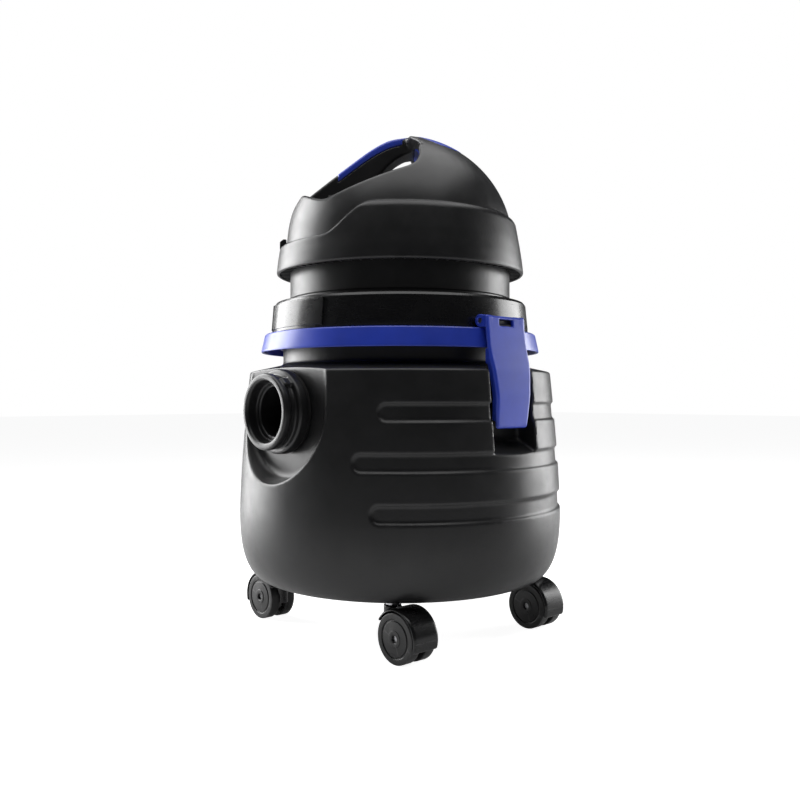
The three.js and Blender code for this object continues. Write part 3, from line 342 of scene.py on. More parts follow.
def ramp(tree, source, stops):
    """A colour ramp on a value, from [place, grey or colour] stops."""
    made = tree.nodes.new("ShaderNodeValToRGB")
    elements = made.color_ramp.elements
    while len(elements) < len(stops):
        elements.new(0.5)
    for element, (place, tone) in zip(elements, stops):
        element.position = place
        element.color = (*tone, 1) if hasattr(tone, "__len__") else (tone, tone, tone, 1)
    tree.links.new(source, made.inputs["Fac"])
    return made.outputs["Color"]


def mixed(tree, kind, share, a, b):
    """Two colours mixed by a share, each a socket or a colour."""
    made = tree.nodes.new("ShaderNodeMix")
    made.data_type = "RGBA"
    made.blend_type = kind
    for socket, value in zip((made.inputs[0], made.inputs[6], made.inputs[7]), (share, a, b)):
        if isinstance(value, bpy.types.NodeSocket):
            tree.links.new(value, socket)
        elif hasattr(value, "__len__"):
            socket.default_value = (*value, 1)
        else:
            socket.default_value = value
    return made.outputs[2]


def material(name, colour, rough, grain=0.0, grain_size=0.5, wear=None, streaks=0.0, **shader):
    """A moulded or metal surface: mottled colour, uneven gloss, grain, scuffs and worn edges."""
    made = bpy.data.materials.new(name)
    made.use_nodes = True
    tree = made.node_tree
    link = tree.links.new
    base = tree.nodes["Principled BSDF"]
    for key, value in shader.items():
        base.inputs[key.replace("_", " ")].default_value = value
    place = tree.nodes.new("ShaderNodeTexCoord").outputs["Object"]

    cloud = node(tree, "ShaderNodeTexNoise", Scale=14.0, Detail=5.0, Roughness=0.6)
    link(place, cloud.inputs["Vector"])
    dark = tuple(0.82 * value for value in colour)
    light = tuple(min(1, 1.16 * value) for value in colour)
    tone = ramp(tree, cloud.outputs["Fac"], [(0.32, dark), (0.68, light)])

    smear = node(tree, "ShaderNodeTexNoise", Scale=46.0, Detail=6.0, Roughness=0.65)
    link(place, smear.inputs["Vector"])
    gloss = ramp(tree, smear.outputs["Fac"], [(0.3, rough * 0.84), (0.7, rough * 1.18)])

    stretched = node(tree, "ShaderNodeMapping", Scale=(60.0, 60.0, 900.0))
    link(place, stretched.inputs["Vector"])
    scuff = node(tree, "ShaderNodeTexNoise", Scale=1.0, Detail=3.0, Distortion=0.6)
    link(stretched.outputs["Vector"], scuff.inputs["Vector"])
    marks = ramp(tree, scuff.outputs["Fac"], [(0.62, 0.0), (0.78, streaks)])
    gloss = mixed(tree, "ADD", 1.0, gloss, marks)

    if wear:
        geometry = tree.nodes.new("ShaderNodeNewGeometry")
        edge = ramp(tree, geometry.outputs["Pointiness"], [(0.515, 0.0), (0.56, 0.55)])
        chips = ramp(tree, smear.outputs["Fac"], [(0.38, 0.25), (0.62, 1.0)])
        share = mixed(tree, "MULTIPLY", 1.0, edge, chips)
        tone = mixed(tree, "MIX", share, tone, wear)
    link(tone, base.inputs["Base Color"])
    link(gloss, base.inputs["Roughness"])

    fine = node(tree, "ShaderNodeTexNoise", Scale=1 / (grain_size * MM), Detail=2.0, Roughness=0.5)
    link(place, fine.inputs["Vector"])
    relief = node(tree, "ShaderNodeBump", Strength=grain, Distance=0.0002)
    link(fine.outputs["Fac"], relief.inputs["Height"])
    waves = node(tree, "ShaderNodeBump", Strength=0.12, Distance=0.0004)
    link(cloud.outputs["Fac"], waves.inputs["Height"])
    link(relief.outputs["Normal"], waves.inputs["Normal"])
    link(waves.outputs["Normal"], base.inputs["Normal"])
    return made


MATERIALS = {
    "body_black": material(
        "body_black", (0.012, 0.012, 0.0128), 0.36, grain=0.35, grain_size=0.55,
        wear=(0.06, 0.06, 0.063), streaks=0.10, Specular_IOR_Level=0.5),
    "gloss_black": material(
        "gloss_black", (0.006, 0.006, 0.0065), 0.27, grain=0.05, grain_size=0.8,
        wear=(0.05, 0.05, 0.052), streaks=0.12, Coat_Weight=0.08, Coat_Roughness=0.12),
    "accent_blue": material(
        "accent_blue", (0.026, 0.062, 0.54), 0.36, grain=0.10, grain_size=0.6,
        wear=(0.16, 0.2, 0.75), streaks=0.10, Coat_Weight=0.15, Coat_Roughness=0.2),
    "caster_black": material(
        "caster_black", (0.008, 0.008, 0.0085), 0.24, grain=0.12, grain_size=0.5,
        wear=(0.07, 0.07, 0.072), streaks=0.16),
    "wheel_grey": material(
        "wheel_grey", (0.012, 0.012, 0.0125), 0.3, grain=0.2, grain_size=0.4,
        wear=(0.1, 0.1, 0.1), streaks=0.25),
    "steel": material(
        "steel", (0.5, 0.5, 0.52), 0.3, grain=0.15, grain_size=0.25, streaks=0.2, Metallic=1.0),
    "copper": material(
        "copper", (0.68, 0.3, 0.15), 0.34, grain=0.6, grain_size=0.6, streaks=0.2, Metallic=1.0),
    "rubber": material(
        "rubber", (0.014, 0.014, 0.014), 0.72, grain=0.5, grain_size=0.35, streaks=0.1),
    "carbon": material("carbon", (0.02, 0.02, 0.021), 0.6, grain=0.5, grain_size=0.3, streaks=0.1),
    "filter_foam": material(
        "filter_foam", (0.05, 0.052, 0.056), 0.95, grain=1.0, grain_size=1.4, Sheen_Weight=0.3),
    "float_white": material(
        "float_white", (0.72, 0.72, 0.69), 0.5, grain=0.2, grain_size=0.5, streaks=0.1),
}


def finish_cad_nodes():
    """The nodes that stay as they are take the material of their slot."""
    for name, shown in frame["nodes"].items():
        shown.data.materials.clear()
        shown.data.materials.append(MATERIALS[SLOT_OF[name]])
        shown.data.shade_smooth()
        shown.data.set_sharp_from_angle(angle=math.radians(25))


finish_cad_nodes()

# ---- Tank ----------------------------------------------------------------------------------

WIDEST = TANK_BOTTOM + 60


def side_radius(z):
    """The tank's outside radius at a height."""
    above = np.clip((z - WIDEST) / (TANK_TOP - WIDEST), 0, 1)
    below = np.clip((WIDEST - z) / (WIDEST - TANK_BOTTOM), 0, 1)
    return TANK_RADIUS - 9 * above**1.4 - 28 * (1 - (1 - below**2.5) ** 0.4)


def tank_outline(inset, rim):
    """The tank's closed profile, set in by a wall, from beyond the axis."""
    widest = WIDEST - TANK_BOTTOM
    straight = np.linspace(widest + 2, TANK_TOP - TANK_BOTTOM - 1, 40)
    rise = np.concatenate([np.linspace(0, 1, 25) ** 2 * widest, straight])
    heights = TANK_BOTTOM + rise
    side = [(side_radius(z) - inset, max(z, TANK_BOTTOM + inset)) for z in heights]
    return [
        (-40, TANK_BOTTOM + inset), *side,
        (side_radius(TANK_TOP) - 1.2 - inset, TANK_TOP - inset * 0.8),
        (MOUTH_RADIUS + 1.5 - inset, TANK_TOP + 6 - inset * 0.9),
        (MOUTH_RADIUS - inset, TANK_TOP + 7.5), (MOUTH_RADIUS - inset, rim), (-40, rim),
    ]


TANK_OUTER = Outline(tank_outline(0, RIM_Z), rounding=0.9)
TANK_INNER = Outline(tank_outline(TANK_WALL, RIM_Z + 12), rounding=1.2)
GROOVE_HALF = 7
GROOVE_DEPTH = 2.0
GROOVE_END = 152
TANK_HEIGHT = NECK_FOOT - TANK_BOTTOM
GROOVES = [
    (NECK_FOOT - (0.168 + 0.2157 * index) * TANK_HEIGHT, start)
    for index, start in enumerate((41, 33, 39))
]


def port_recess(x, y, z):
    """The U-shaped recess round the inlet, open at the top."""
    out = -y - RECESS_Y
    across = np.where(z < PORT_Z, np.hypot(x, z - PORT_Z), np.abs(x))
    return smax(-out, (across - RECESS_RADIUS - RECESS_DRAFT * out) * 0.97, 5)


def latch_pocket(x, y, z):
    """The pocket behind a latch's tail, with a sloping floor."""
    back = RING_RADIUS - 7.5
    floor = LATCH_TAIL - 10 - 0.5 * (np.abs(x) - back)
    sides = smax(np.abs(y) - 25.5, back - np.abs(x), 4)
    return smax(sides, (floor - z) * 0.9, 4)


def tank_field(x, y, z):
    radius = np.hypot(x, y)
    skin = TANK_OUTER(radius, z)
    recess = port_recess(x, y, z)
    pocket = latch_pocket(x, y, z)
    outer = smax(smax(skin, -recess, 1.4), -pocket, 1.4)
    angle = np.degrees(np.arctan2(np.abs(x), -y))
    room = TANK_INNER(radius, z)
    for middle, start in GROOVES:
        along = np.radians(angle - start) * TANK_RADIUS
        length = math.radians(GROOVE_END - start) * TANK_RADIUS
        beyond = np.maximum(np.maximum(GROOVE_HALF - along, along - length), 0)
        slot = np.hypot(beyond, z - middle) - GROOVE_HALF
        groove = smax(slot, -(skin + GROOVE_DEPTH), 2.5)
        outer = smax(outer, -groove, 1.6)
        room = smax(room, TANK_WALL - groove, 3)
    room = smax(smax(room, TANK_WALL - recess, 3), TANK_WALL - pocket, 3)
    stem = np.hypot(np.abs(x) - CASTER_X, np.abs(y) - CASTER_X)
    room = smax(room, -smax(stem - 9, z - TANK_BOTTOM - 28, 1), 2)
    body = smax(outer, -room, 1)
    body = smax(body, -smax(stem - 4.3, z - TANK_BOTTOM - 24, 0.5), 0.5)
    hole = smax(np.hypot(x, z - PORT_Z) - 30.3, y + RECESS_Y - 30, 0.5)
    return smax(body, -hole, 0.5)


def make_tank():
    reach = TANK_RADIUS + 3
    shape = surface(tank_field, (-reach, -reach, TANK_BOTTOM - 3), (reach, reach, RIM_Z + 3), 1.3)
    new_object("tank_shell", *shape, "body_black", "tank", ["tank"], crease=60)


def make_ring():
    top = RING_RADIUS - 4
    inside = MOUTH_RADIUS + 0.3
    web = RIM_Z + 0.3
    shape = lathe([
        (MOUTH_RADIUS - 2, web), (inside, web), (inside, RING_BOTTOM + 3),
        (inside + 2.6, RING_BOTTOM + 3), (inside + 2.6, web), (top - 3, web),
        (RING_RADIUS - 2.8, RING_BOTTOM), (RING_RADIUS, RING_BOTTOM), (RING_RADIUS, RING_BOTTOM + 1.5),
        (top + 1, RING_TOP - 1), (top, RING_TOP), (MOUTH_RADIUS - 2, RING_TOP),
    ])
    new_object("rim_ring", *shape, "accent_blue", "tank", ["tank_ring"])


# ---- Hose inlet ----------------------------------------------------------------------------


def port_outline():
    face = -PORT_FACE
    collar = COLLAR_HALF
    back = RECESS_Y + 2.3
    return [
        (20, -PORT_BACK), (30, -PORT_BACK), (30, back), (collar, back), (collar, back + 8),
        (collar - 1.2, back + 9.2), (29.5, back + 9.2), (29.5, face - 7), (31, face - 6), (31, face - 1),
        (30, face), (26.5, face), (25, face - 1.5), (24.4, face - 10), (20, face - 10),
    ]


PORT_PROFILE = Outline(port_outline(), rounding=0.7)


def port_field(x, y, z):
    tube = PORT_PROFILE(np.hypot(x, z - PORT_Z), -y)
    for angle in (50, 130):
        c, s = math.cos(math.radians(angle)), math.sin(math.radians(angle))
        out = x * c + (z - PORT_Z) * s
        across = (z - PORT_Z) * c - x * s
        lug = rounded_box(out, -y, across, (27, -PORT_FACE - 15, -4), (32.5, -PORT_FACE - 5, 4), 1.2)
        tube = smin(tube, lug, 1.5)
    return tube


def make_port():
    reach = COLLAR_HALF + 2
    low = (-reach, PORT_FACE - 2, PORT_Z - reach)
    high = (reach, PORT_BACK + 2, PORT_Z + reach)
    new_object("hose_inlet", *surface(port_field, low, high, 0.7), "body_black", "tank",
               ["inlet_port"], crease=60)


# ---- Latches -------------------------------------------------------------------------------

# The middle of the latch's plate: [distance beyond the ring, height below the pivot].
LATCH_LINE = [(0.9, -3.4), (1.1, 2), (3.3, 20), (8.1, 39), (10.2, 60), (7.9, PIVOT_Z - LATCH_TAIL)]
LATCH_FACE = smooth_line([(down, out) for out, down in LATCH_LINE], reach=6)
LATCH_WIDTH = smooth_line(
    [(-8, LATCH_HALF - 0.5), (30, LATCH_HALF), (62, LATCH_HALF - 3.5), (90, LATCH_HALF - 5)], reach=6)


def latch_field(x, y, z):
    down = PIVOT_Z - z
    across = np.abs(y)
    middle = RING_RADIUS + LATCH_FACE(down)
    plate = np.abs(x - middle) * 0.96 - 1.5
    plate = smax(plate, np.maximum(-4 - down, down - (PIVOT_Z - LATCH_TAIL)), 2.5)
    plate = smax(plate, across - LATCH_WIDTH(down), 2.5)
    # Folded edges stiffen the plate, and end above the ring's skirt.
    lip = smax(np.abs(across - LATCH_WIDTH(down) + 1.2) - 1.1, np.abs(x - middle + 2.4) - 2.4, 1)
    lip = smax(lip, np.maximum(30 - down, down - 80), 2)
    plate = smin(plate, lip, 1.5)
    radius = np.hypot(x - PIVOT_X, z - PIVOT_Z)
    ear = smin(radius - 5, rounded_box(x, y * 0, z, (PIVOT_X, -1, PIVOT_Z - 5),
                                       (RING_RADIUS + 2, 1, PIVOT_Z + 4), 1), 1.5)
    ears = smax(ear, np.maximum(17 - across, across - LATCH_HALF + 0.5), 1)
    tip = RING_RADIUS + 0.45
    claw = smax(np.maximum(tip - x, z - RING_BOTTOM + 1), RING_BOTTOM - 13 - z, 1)
    claw = smax(claw, x - middle, 1)
    claws = smax(claw, np.maximum(17 - across, across - LATCH_HALF + 0.5), 1)
    whole = smin(smin(plate, ears, 1), claws, 1)
    window = rounded_box(x, y, z, (PIVOT_X + 4.2, -8.5, PIVOT_Z - 4),
                         (RING_RADIUS + 12, 8.5, PIVOT_Z + 1.5), 1)
    whole = smax(whole, -window, 0.8)
    return smax(whole, 2.3 - radius, 0.5)


def make_latches():
    low = (PIVOT_X - 6, -LATCH_HALF - 2, LATCH_TAIL - 2)
    high = (RING_RADIUS + 15, LATCH_HALF + 2, PIVOT_Z + 7)
    vertices, faces = surface(latch_field, low, high, 0.55)
    new_object("latch_body_right", vertices, faces, "accent_blue", "latch_right", ["latch_right"],
               crease=60)
    new_object("latch_body_left", vertices * (-1, 1, 1), faces[:, ::-1], "accent_blue", "latch_left",
               ["latch_left"], crease=60)


# ---- Lid -----------------------------------------------------------------------------------


def make_lid():
    seat = LID_Z + 2.3
    floor = LID_Z + 5
    spigot = MOUTH_RADIUS - TANK_WALL - 1
    top = COLLAR_RADIUS - 2.2
    eye = 16
    shape = lathe([
        (eye, seat), (spigot - 2.7, seat), (spigot - 2.7, seat - 12), (spigot, seat - 12),
        (spigot, seat), (COLLAR_RADIUS - 3.3, seat), (COLLAR_RADIUS - 3.3, LID_Z),
        (COLLAR_RADIUS, LID_Z), (COLLAR_RADIUS + 0.1, LID_Z + 5), (top + 0.3, COLLAR_TOP - 2.5),
        (top - 1.5, COLLAR_TOP), (NECK_RADIUS + 0.5, COLLAR_TOP), (NECK_RADIUS + 0.5, COLLAR_TOP - 2.5),
        (top - 2.7, COLLAR_TOP - 2.5), (COLLAR_RADIUS - 2.7, floor), (eye, floor),
    ], radius=1.2, segments=200)
    new_object("lid_collar", *shape, "gloss_black", "head", ["lid_base"])
    low = (COLLAR_RADIUS - 5, -18, PIVOT_Z - 7)
    high = (PIVOT_X + 6, 18, PIVOT_Z + 7)
    vertices, faces = surface(knuckle_field, low, high, 0.5)
    new_object("hinge_lug_right", vertices, faces, "gloss_black", "head", crease=60)
    new_object("hinge_lug_left", vertices * (-1, 1, 1), faces[:, ::-1], "gloss_black", "head",
               crease=60)


def knuckle_field(x, y, z):
    """The lid's lug that a latch turns on."""
    radius = np.hypot(x - PIVOT_X, z - PIVOT_Z)
    arm = rounded_box(x, y * 0, z, (COLLAR_RADIUS - 3, -1, PIVOT_Z - 3), (PIVOT_X, 1, PIVOT_Z + 4.2), 0.8)
    lug = smin(radius - 4.2, arm, 1)
    return smax(smax(lug, np.abs(y) - 16, 1), 2.3 - radius, 0.4)


def make_nameplate():
    """A blank plate on the collar with a raised frame."""
    low = LID_Z + 3
    high = COLLAR_TOP - 3.5
    lean = 2.2 / (COLLAR_TOP - LID_Z)
    at = lambda z, out: (COLLAR_RADIUS - lean * (z - LID_Z) + out, z)
    shape = lathe([at(low, 0.1), at(low, 1.2), at(high, 1.2), at(high, 0.1)], radius=0.5,
                  segments=60, start=-27, end=15)
    new_object("blank_plate", *shape, "gloss_black", "head", ["nameplate"])
    for name, a, b in (("plate_edge_left", -27.6, -26.8), ("plate_edge_right", 14.8, 15.6)):
        strip = lathe([at(low - 0.6, 0), at(low - 0.6, 1.6), at(high + 0.6, 1.6), at(high + 0.6, 0)],
                      radius=0.3, segments=4, start=a, end=b)
        new_object(name, *strip, "gloss_black", "head")


# ---- Head ----------------------------------------------------------------------------------

# The handle's top line, as [y, height above the dome's centre].
HANDLE_TOP = smooth_line([
    (-98, 31), (-90, 38.2), (-81, 45.7), (-63, 59.8), (-45, 73.2), (-36, 80), (-27, 86.4), (-18, 91.8),
    (-9, 96), (0, 98.4), (10, 100.5), (40, 104), (200, 104)], reach=6)
# The plan of the space beside the handle, which flares out where it meets the crown.
BESIDE = Outline([
    (14, -125), (14, 4), (17, 9), (23, 13.5), (32, 16.5), (44, 18.5), (60, 19), (120, 19), (120, -125),
], rounding=2)
# The shoulder's height above the skirt's rim, from the low front to the sides.
SHOULDER = smooth_line([
    (-64, 23), (-58, 24.5), (-52, 29), (-43, 37), (-34, 44), (-27, 47), (-18, 48.5)], reach=5)


def floor_at(y):
    """The height of the troughs' floor above the dome's centre."""
    return 52 + 0.37 * y


TROUGH = Outline([
    (-62, floor_at(-62)), (8, floor_at(8)), (14, floor_at(8) + 5), (17, floor_at(8) + 13),
    (16.5, floor_at(8) + 22), (13, floor_at(8) + 32), (7, floor_at(8) + 39), (2, 130), (-125, 130),
    (-104, 56), (-84, 40.5), (-76, 35), (-68, 30.5),
], rounding=2.5)
HAND_HOLE = Outline([
    (-67, floor_at(-67)), (-45, floor_at(-45) - 11), (-20, floor_at(-20) - 13), (0, floor_at(0) - 9),
    (13, floor_at(8) + 2), (18, floor_at(8) + 13), (18, floor_at(8) + 24), (14, 86), (3, 82.5),
    (-4.5, 78), (-11, 72.5), (-18, 65), (-27, 56.5), (-36, 48), (-45, 40), (-57, 30),
], rounding=1.5)
SKIRT = Outline([
    (-40, SKIRT_Z), (SKIRT_RADIUS - 0.6, SKIRT_Z), (SKIRT_RADIUS, SKIRT_Z + 1.5),
    (SKIRT_RADIUS - 1.2, SKIRT_Z + 12), (SKIRT_RADIUS - 3.4, SKIRT_Z + 26),
    (DOME_RADIUS + 2.6, SKIRT_Z + 44), (DOME_RADIUS + 0.4, SKIRT_Z + 47.4), (DOME_RADIUS - 3, SKIRT_Z + 48),
    (-40, SKIRT_Z + 48),
], rounding=0.8)
INLAY_SIDE = [
    (17, -56), (17, -8), (14, 0), (12.5, 5), (16, 10), (25, 15.5), (37, 20.5), (44, 27), (46, 35),
    (38, 47), (21, 56),
]
INLAY_PLAN = Outline(INLAY_SIDE + [(-x, y) for x, y in reversed(INLAY_SIDE)], rounding=2.5)
SHELL_WALL = 3.0
INLAY_DEPTH = 2.5


def crown(x, y, z):
    """The dome, cut off along the handle's top line."""
    up = z - DOME_Z
    dome = np.sqrt(x * x + y * y + (np.maximum(up, 0) / DOME_FLAT) ** 2) - DOME_RADIUS
    return smax(dome, (up - HANDLE_TOP(y)) * 0.8, 4)


def head_outside(x, y, z):
    """The head without its hollow: dome, skirt, troughs, handle and hand hole."""
    up = z - DOME_Z
    skirt = SKIRT(np.hypot(x, y), z)
    skirt = smax(skirt, (z - SKIRT_Z - SHOULDER(y)) * 0.9, 1.6)
    whole = smin(crown(x, y, z), skirt, 1.2)
    whole = smax(whole, -smax(TROUGH(y, up), BESIDE(np.abs(x), y), 6), 3)
    hole = smax(HAND_HOLE(y, up), np.abs(x) - 58, 3)
    return smax(whole, -hole, 3)


def inlay_zone(x, y, z, grow):
    """The part of the handle and crown that the inlay covers, grown by a gap."""
    up = z - DOME_Z
    lowest = HANDLE_TOP(np.minimum(y, 8)) - 7 - 1.4 * np.maximum(y - 8, 0)
    return smax(INLAY_PLAN(x, y), (lowest - up) * 0.7, 1) - grow


def head_field(x, y, z):
    outside = head_outside(x, y, z)
    zone = inlay_zone(x, y, z, 0.25)
    seat = smax(zone, -(outside + INLAY_DEPTH + 0.3), 0.4)
    under_seat = smax(zone - SHELL_WALL, -(outside + INLAY_DEPTH + SHELL_WALL), 0.4)
    room = smax(outside + SHELL_WALL, -under_seat, 0.6)
    bell = smax(np.hypot(x, y) - SKIRT_RADIUS + SHELL_WALL, z - SKIRT_Z - 12, 2)
    body = smax(outside, -smin(room, bell, 1), 0.8)
    out = y * math.cos(CORD_TURN) - x * math.sin(CORD_TURN)
    across = x * math.cos(CORD_TURN) + y * math.sin(CORD_TURN)
    cord = smax(np.hypot(across, z - SKIRT_Z - 14) - 7.3, 60 - out, 0.5)
    return smax(smax(body, -seat, 0.4), -cord, 0.5)


def inlay_field(x, y, z):
    outside = head_outside(x, y, z)
    layer = smax(outside - 0.3, -(outside + INLAY_DEPTH), 0.5)
    return smax(layer, inlay_zone(x, y, z, 0), 0.8)


def make_head():
    reach = SKIRT_RADIUS + 3
    top = DOME_Z + DOME_RADIUS + 3
    vertices, faces = surface(head_field, (-reach, -reach, SKIRT_Z - 3), (reach, reach, top), 1.15)
    new_object("head_moulding", turn(vertices, HEAD_TURN), faces, "body_black", "head", ["head_shell"],
               crease=60)
    vertices, faces = surface(inlay_field, (-50, -62, DOME_Z + 45), (50, 60, top), 0.8)
    new_object("handle_cover", turn(vertices, HEAD_TURN), faces, "accent_blue", "head",
               ["handle_inlay"], crease=60)


def make_neck():
    low = NECK_BOTTOM
    shape = lathe([
        (NECK_RADIUS, low), (NECK_RADIUS, COLLAR_TOP + 1), (NECK_RADIUS - 0.8, COLLAR_TOP + 2),
        (NECK_RADIUS - 0.8, COLLAR_TOP + 3.5), (NECK_RADIUS, COLLAR_TOP + 4.5), (NECK_RADIUS, DECK_Z),
        (48, DECK_Z), (48, DECK_Z - 2.5), (NECK_RADIUS - 2.5, DECK_Z - 2.5), (NECK_RADIUS - 2.5, low),
    ], radius=0.6, segments=180)
    new_object("neck_wall", *shape, "body_black", "head", ["motor_housing"])


def make_fins():
    """The exhaust grille under the skirt: a ring of upright fins."""
    count = 72
    half = 0.7
    inner, outer = NECK_RADIUS + 0.6, SKIRT_RADIUS - 3.6
    low, high = SKIRT_Z + 0.8, SKIRT_Z + 6.5
    ring = lathe([(inner, high - 1.6), (outer, high - 1.6), (outer, high), (inner, high)], radius=0.3)
    vertices, faces = [ring[0]], list(ring[1])
    for index in range(count):
        fin = np.array([[r, w, z] for r in (inner, outer) for w in (-half, half) for z in (low, high - 1.5)])
        start = sum(len(piece) for piece in vertices)
        vertices.append(turn(fin, 2 * math.pi * index / count))
        box = [[0, 1, 3, 2], [4, 6, 7, 5], [0, 4, 5, 1], [2, 3, 7, 6], [0, 2, 6, 4], [1, 5, 7, 3]]
        faces += [[start + corner for corner in face] for face in box]
    new_object("exhaust_fins", np.concatenate(vertices), faces, "body_black", "head", ["exhaust_grille"])


# ---- Casters -------------------------------------------------------------------------------

WHEEL_RADIUS = 20
TRAIL = 16
HOOD_RADIUS = 23
WEB_HALF = 3
CASTER_HALF = 13.3


def hood_field(x, y, z):
    """A caster's hood, round its swivel axis with the axle at +X."""
    across = np.abs(y)
    radius = np.hypot(x - TRAIL, z - WHEEL_RADIUS)
    outer = smax(radius - HOOD_RADIUS, across - CASTER_HALF, 3)
    # The hood's lower edge slopes down towards the back of the wheels.
    low = (WHEEL_RADIUS + 2 - 0.45 * (x - TRAIL)) - z
    outer = smax(outer, low * 0.91, 2)
    room = smax(radius - 21.2, WEB_HALF - across, 0.6)
    hood = smax(outer, -room, 0.6)
    web = smax(radius - 16, across - WEB_HALF, 0.8)
    boss = smax(np.hypot(x, y) - 7, np.maximum(WHEEL_RADIUS - 4 - z, z - 2 * HOOD_RADIUS + 3.6), 1)
    boss = smax(boss, -room, 0.6)
    hood = smin(smin(hood, web, 1), boss, 1.5)
    hood = smax(hood, 4.3 - np.hypot(x, y), 0.4)
    return smax(hood, 2.8 - radius, 0.4)


def make_casters():
    hood = surface(hood_field, (-9, -15, 2), (TRAIL + 25, 15, 45), 0.6)
    inner = WEB_HALF + 0.3
    outer = inner + 9.2
    wheel, wheel_faces = lathe([
        (2.8, inner), (WHEEL_RADIUS, inner), (WHEEL_RADIUS, outer), (15.2, outer), (15.2, outer - 0.9),
        (13.6, outer - 0.9), (13.6, outer), (6.4, outer), (6.4, outer + 0.5), (2.8, outer + 0.5),
    ], radius=0.9, segments=72)
    wheel_faces = np.array(wheel_faces)
    for name in ("front_right", "rear_right", "rear_left", "front_left"):
        x, y, _ = (value / MM for value in JOINTS["caster_swivel_" + name]["pos_m"])
        heading = 0 if x > 0 else math.pi  # the casters trail outwards
        place = np.array([x, y, 0])
        vertices = turn(hood[0], heading) + place
        new_object("caster_cover_" + name, vertices, hood[1], "caster_black", "caster_" + name,
                   ["caster_hood_" + name], crease=60)
        for letter, side in (("a", 1), ("b", -1)):
            # The wheel's axis lies along Y, with its outer face away from the other wheel.
            laid = np.stack([wheel[:, 0] + TRAIL, side * wheel[:, 2], wheel[:, 1] + WHEEL_RADIUS], 1)
            faces = wheel_faces[:, ::-1] if side > 0 else wheel_faces
            own = "wheel_" + letter + "_" + name
            new_object(own, turn(laid, heading) + place, faces, "wheel_grey", own, ["caster_" + own])


# ---- Small pieces on the head --------------------------------------------------------------


def make_switch():
    """The switch's bezel and rocker, lying along the trough's floor beside the handle's foot."""
    x0, y0 = 36, -54
    slope = math.atan(0.37)
    tilt = math.radians(-7)
    top = DOME_Z + floor_at(y0) + 8

    def laid(y, z, angle):
        along = (y - y0) * math.cos(angle) + (z - top) * math.sin(angle)
        return along, (z - top) * math.cos(angle) - (y - y0) * math.sin(angle)

    def bezel(x, y, z):
        along, up = laid(y, z, slope)
        block = rounded_box(x, along, up, (x0 - 8, -12, -10), (x0 + 8, 12, 0), 2.2)
        well = rounded_box(x, along, up, (x0 - 5.8, -9.5, -5.5), (x0 + 5.8, 9.5, 8), 0.8)
        return smax(block, -well, 1)

    def rocker(x, y, z):
        along, up = laid(y, z, slope + tilt)
        dish = up - 0.4 - 1.3 * (along / 8) ** 2
        belly = -4.4 + 4.6 * (along / 8.2) ** 2 - up
        block = smax(smax(dish, belly, 0.8), np.abs(along) - 8, 0.8)
        return smax(block, np.abs(x - x0) - 5.3, 0.8)

    low = (x0 - 10, y0 - 16, top - 16)
    high = (x0 + 10, y0 + 16, top + 8)
    for name, field, body, replaced in (
        ("switch_frame", bezel, "head", "switch_bezel"),
        ("switch_rocker", rocker, "power_switch", "power_switch"),
    ):
        vertices, faces = surface(field, low, high, 0.4)
        new_object(name, turn(vertices, HEAD_TURN), faces, "gloss_black", body, [replaced], crease=60)


def make_cowl():
    """The low cowl over the air intake, on the ledge in front of the dome."""
    low = SKIRT_Z + 23.3
    inside, outside = DOME_RADIUS + 0.6, SKIRT_RADIUS - 2.8
    turned_by = -math.degrees(HEAD_TURN)
    shape = lathe([(inside, low), (outside, low), (outside, low + 6), (outside - 3, low + 8.5),
                   (inside, low + 8.5)], radius=1.2, segments=24, start=-10 - turned_by,
                  end=10 - turned_by)
    new_object("air_cowl", *shape, "body_black", "head", ["cooling_cowl"])


make_tank()
make_ring()
make_port()
make_latches()
make_lid()
make_nameplate()
make_head()
make_neck()
make_fins()
make_casters()
make_switch()
make_cowl()


# ---- Camera, floor and light ---------------------------------------------------------------

CAMERA_AZIMUTH = math.radians(48)
CAMERA_DISTANCE = 0.78
CAMERA_HEIGHT = 0.205
CAMERA_SENSOR = 36
CAMERA_LENS = 38.25
AIM_HEIGHT = 0.2027
FLOOR_REACH = 9
FLOOR_GLOW_SEEN = 0.93
FLOOR_GLOW_THROWN = 0.10
WORLD_SEEN = 1.0
WORLD_THROWN = 0.03


def make_camera():
    data = bpy.data.cameras.new("camera")
    data.sensor_width = CAMERA_SENSOR
    data.lens = CAMERA_LENS
    camera = bpy.data.objects.new("camera", data)
    bpy.context.scene.collection.objects.link(camera)
    camera.location = (
        CAMERA_DISTANCE * math.sin(CAMERA_AZIMUTH),
        -CAMERA_DISTANCE * math.cos(CAMERA_AZIMUTH),
        CAMERA_HEIGHT,
    )
    aim = Vector((0, 0, AIM_HEIGHT)) - camera.location
    camera.rotation_euler = aim.to_track_quat("-Z", "Y").to_euler()
    bpy.context.scene.camera = camera


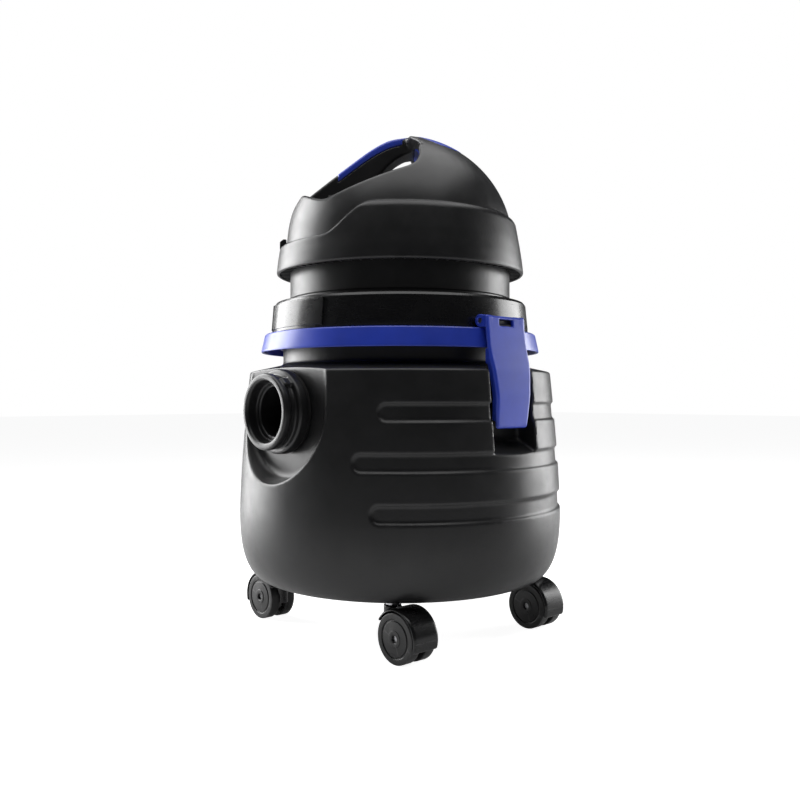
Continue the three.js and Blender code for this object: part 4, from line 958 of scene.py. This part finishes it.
def make_floor():
    """A plain pale floor that runs into the white background, and throws less light than it shows."""
    mesh = bpy.data.meshes.new("floor")
    signs = ((-1, -1), (1, -1), (1, 1), (-1, 1))
    mesh.from_pydata([(a * FLOOR_REACH, b * FLOOR_REACH, 0) for a, b in signs], [], [(0, 1, 2, 3)])
    pale = bpy.data.materials.new("floor")
    pale.use_nodes = True
    tree = pale.node_tree
    shown = tree.nodes["Principled BSDF"]
    thrown = tree.nodes.new("ShaderNodeBsdfPrincipled")
    for shader, glow in ((shown, FLOOR_GLOW_SEEN), (thrown, FLOOR_GLOW_THROWN)):
        shader.inputs["Base Color"].default_value = (0.7, 0.7, 0.7, 1)
        shader.inputs["Roughness"].default_value = 0.8
        shader.inputs["Emission Color"].default_value = (1, 1, 1, 1)
        shader.inputs["Emission Strength"].default_value = glow
    path = tree.nodes.new("ShaderNodeLightPath")
    mix = tree.nodes.new("ShaderNodeMixShader")
    tree.links.new(path.outputs["Is Camera Ray"], mix.inputs[0])
    tree.links.new(thrown.outputs[0], mix.inputs[1])
    tree.links.new(shown.outputs[0], mix.inputs[2])
    tree.links.new(mix.outputs[0], tree.nodes["Material Output"].inputs["Surface"])
    mesh.materials.append(pale)
    floor = bpy.data.objects.new("floor", mesh)
    bpy.context.scene.collection.objects.link(floor)


def make_light(name, azimuth, distance, height, size, power, aim):
    """A soft panel, aimed at a height on the tank's axis. Azimuth 0 is in front of the inlet."""
    data = bpy.data.lights.new(name, "AREA")
    data.shape = "RECTANGLE"
    data.size, data.size_y = size
    data.energy = power
    light = bpy.data.objects.new(name, data)
    bpy.context.scene.collection.objects.link(light)
    angle = math.radians(azimuth)
    light.location = (distance * math.sin(angle), -distance * math.cos(angle), height)
    light.rotation_euler = (Vector((0, 0, aim)) - light.location).to_track_quat("-Z", "Y").to_euler()


def make_world():
    """A white background, dimmer to everything but the camera."""
    world = bpy.data.worlds.new("studio")
    world.use_nodes = True
    tree = world.node_tree
    back = tree.nodes["Background"]
    back.inputs["Color"].default_value = (1, 1, 1, 1)
    back.inputs["Strength"].default_value = WORLD_SEEN
    dim = tree.nodes.new("ShaderNodeBackground")
    dim.inputs["Color"].default_value = (0.93, 0.96, 1, 1)
    dim.inputs["Strength"].default_value = WORLD_THROWN
    path = tree.nodes.new("ShaderNodeLightPath")
    mix = tree.nodes.new("ShaderNodeMixShader")
    tree.links.new(path.outputs["Is Camera Ray"], mix.inputs[0])
    tree.links.new(dim.outputs[0], mix.inputs[1])
    tree.links.new(back.outputs[0], mix.inputs[2])
    tree.links.new(mix.outputs[0], tree.nodes["World Output"].inputs["Surface"])
    bpy.context.scene.world = world


make_camera()
make_floor()
make_world()
make_light("left_panel", -66, 1.0, 0.42, (0.7, 1.2), 22, 0.27)
make_light("right_panel", 160, 1.1, 0.26, (0.7, 0.8), 11, 0.15)
make_light("top_panel", 48, 0.05, 1.25, (1.4, 1.3), 12, 0.3)
bpy.context.scene.view_settings.view_transform = "Standard"
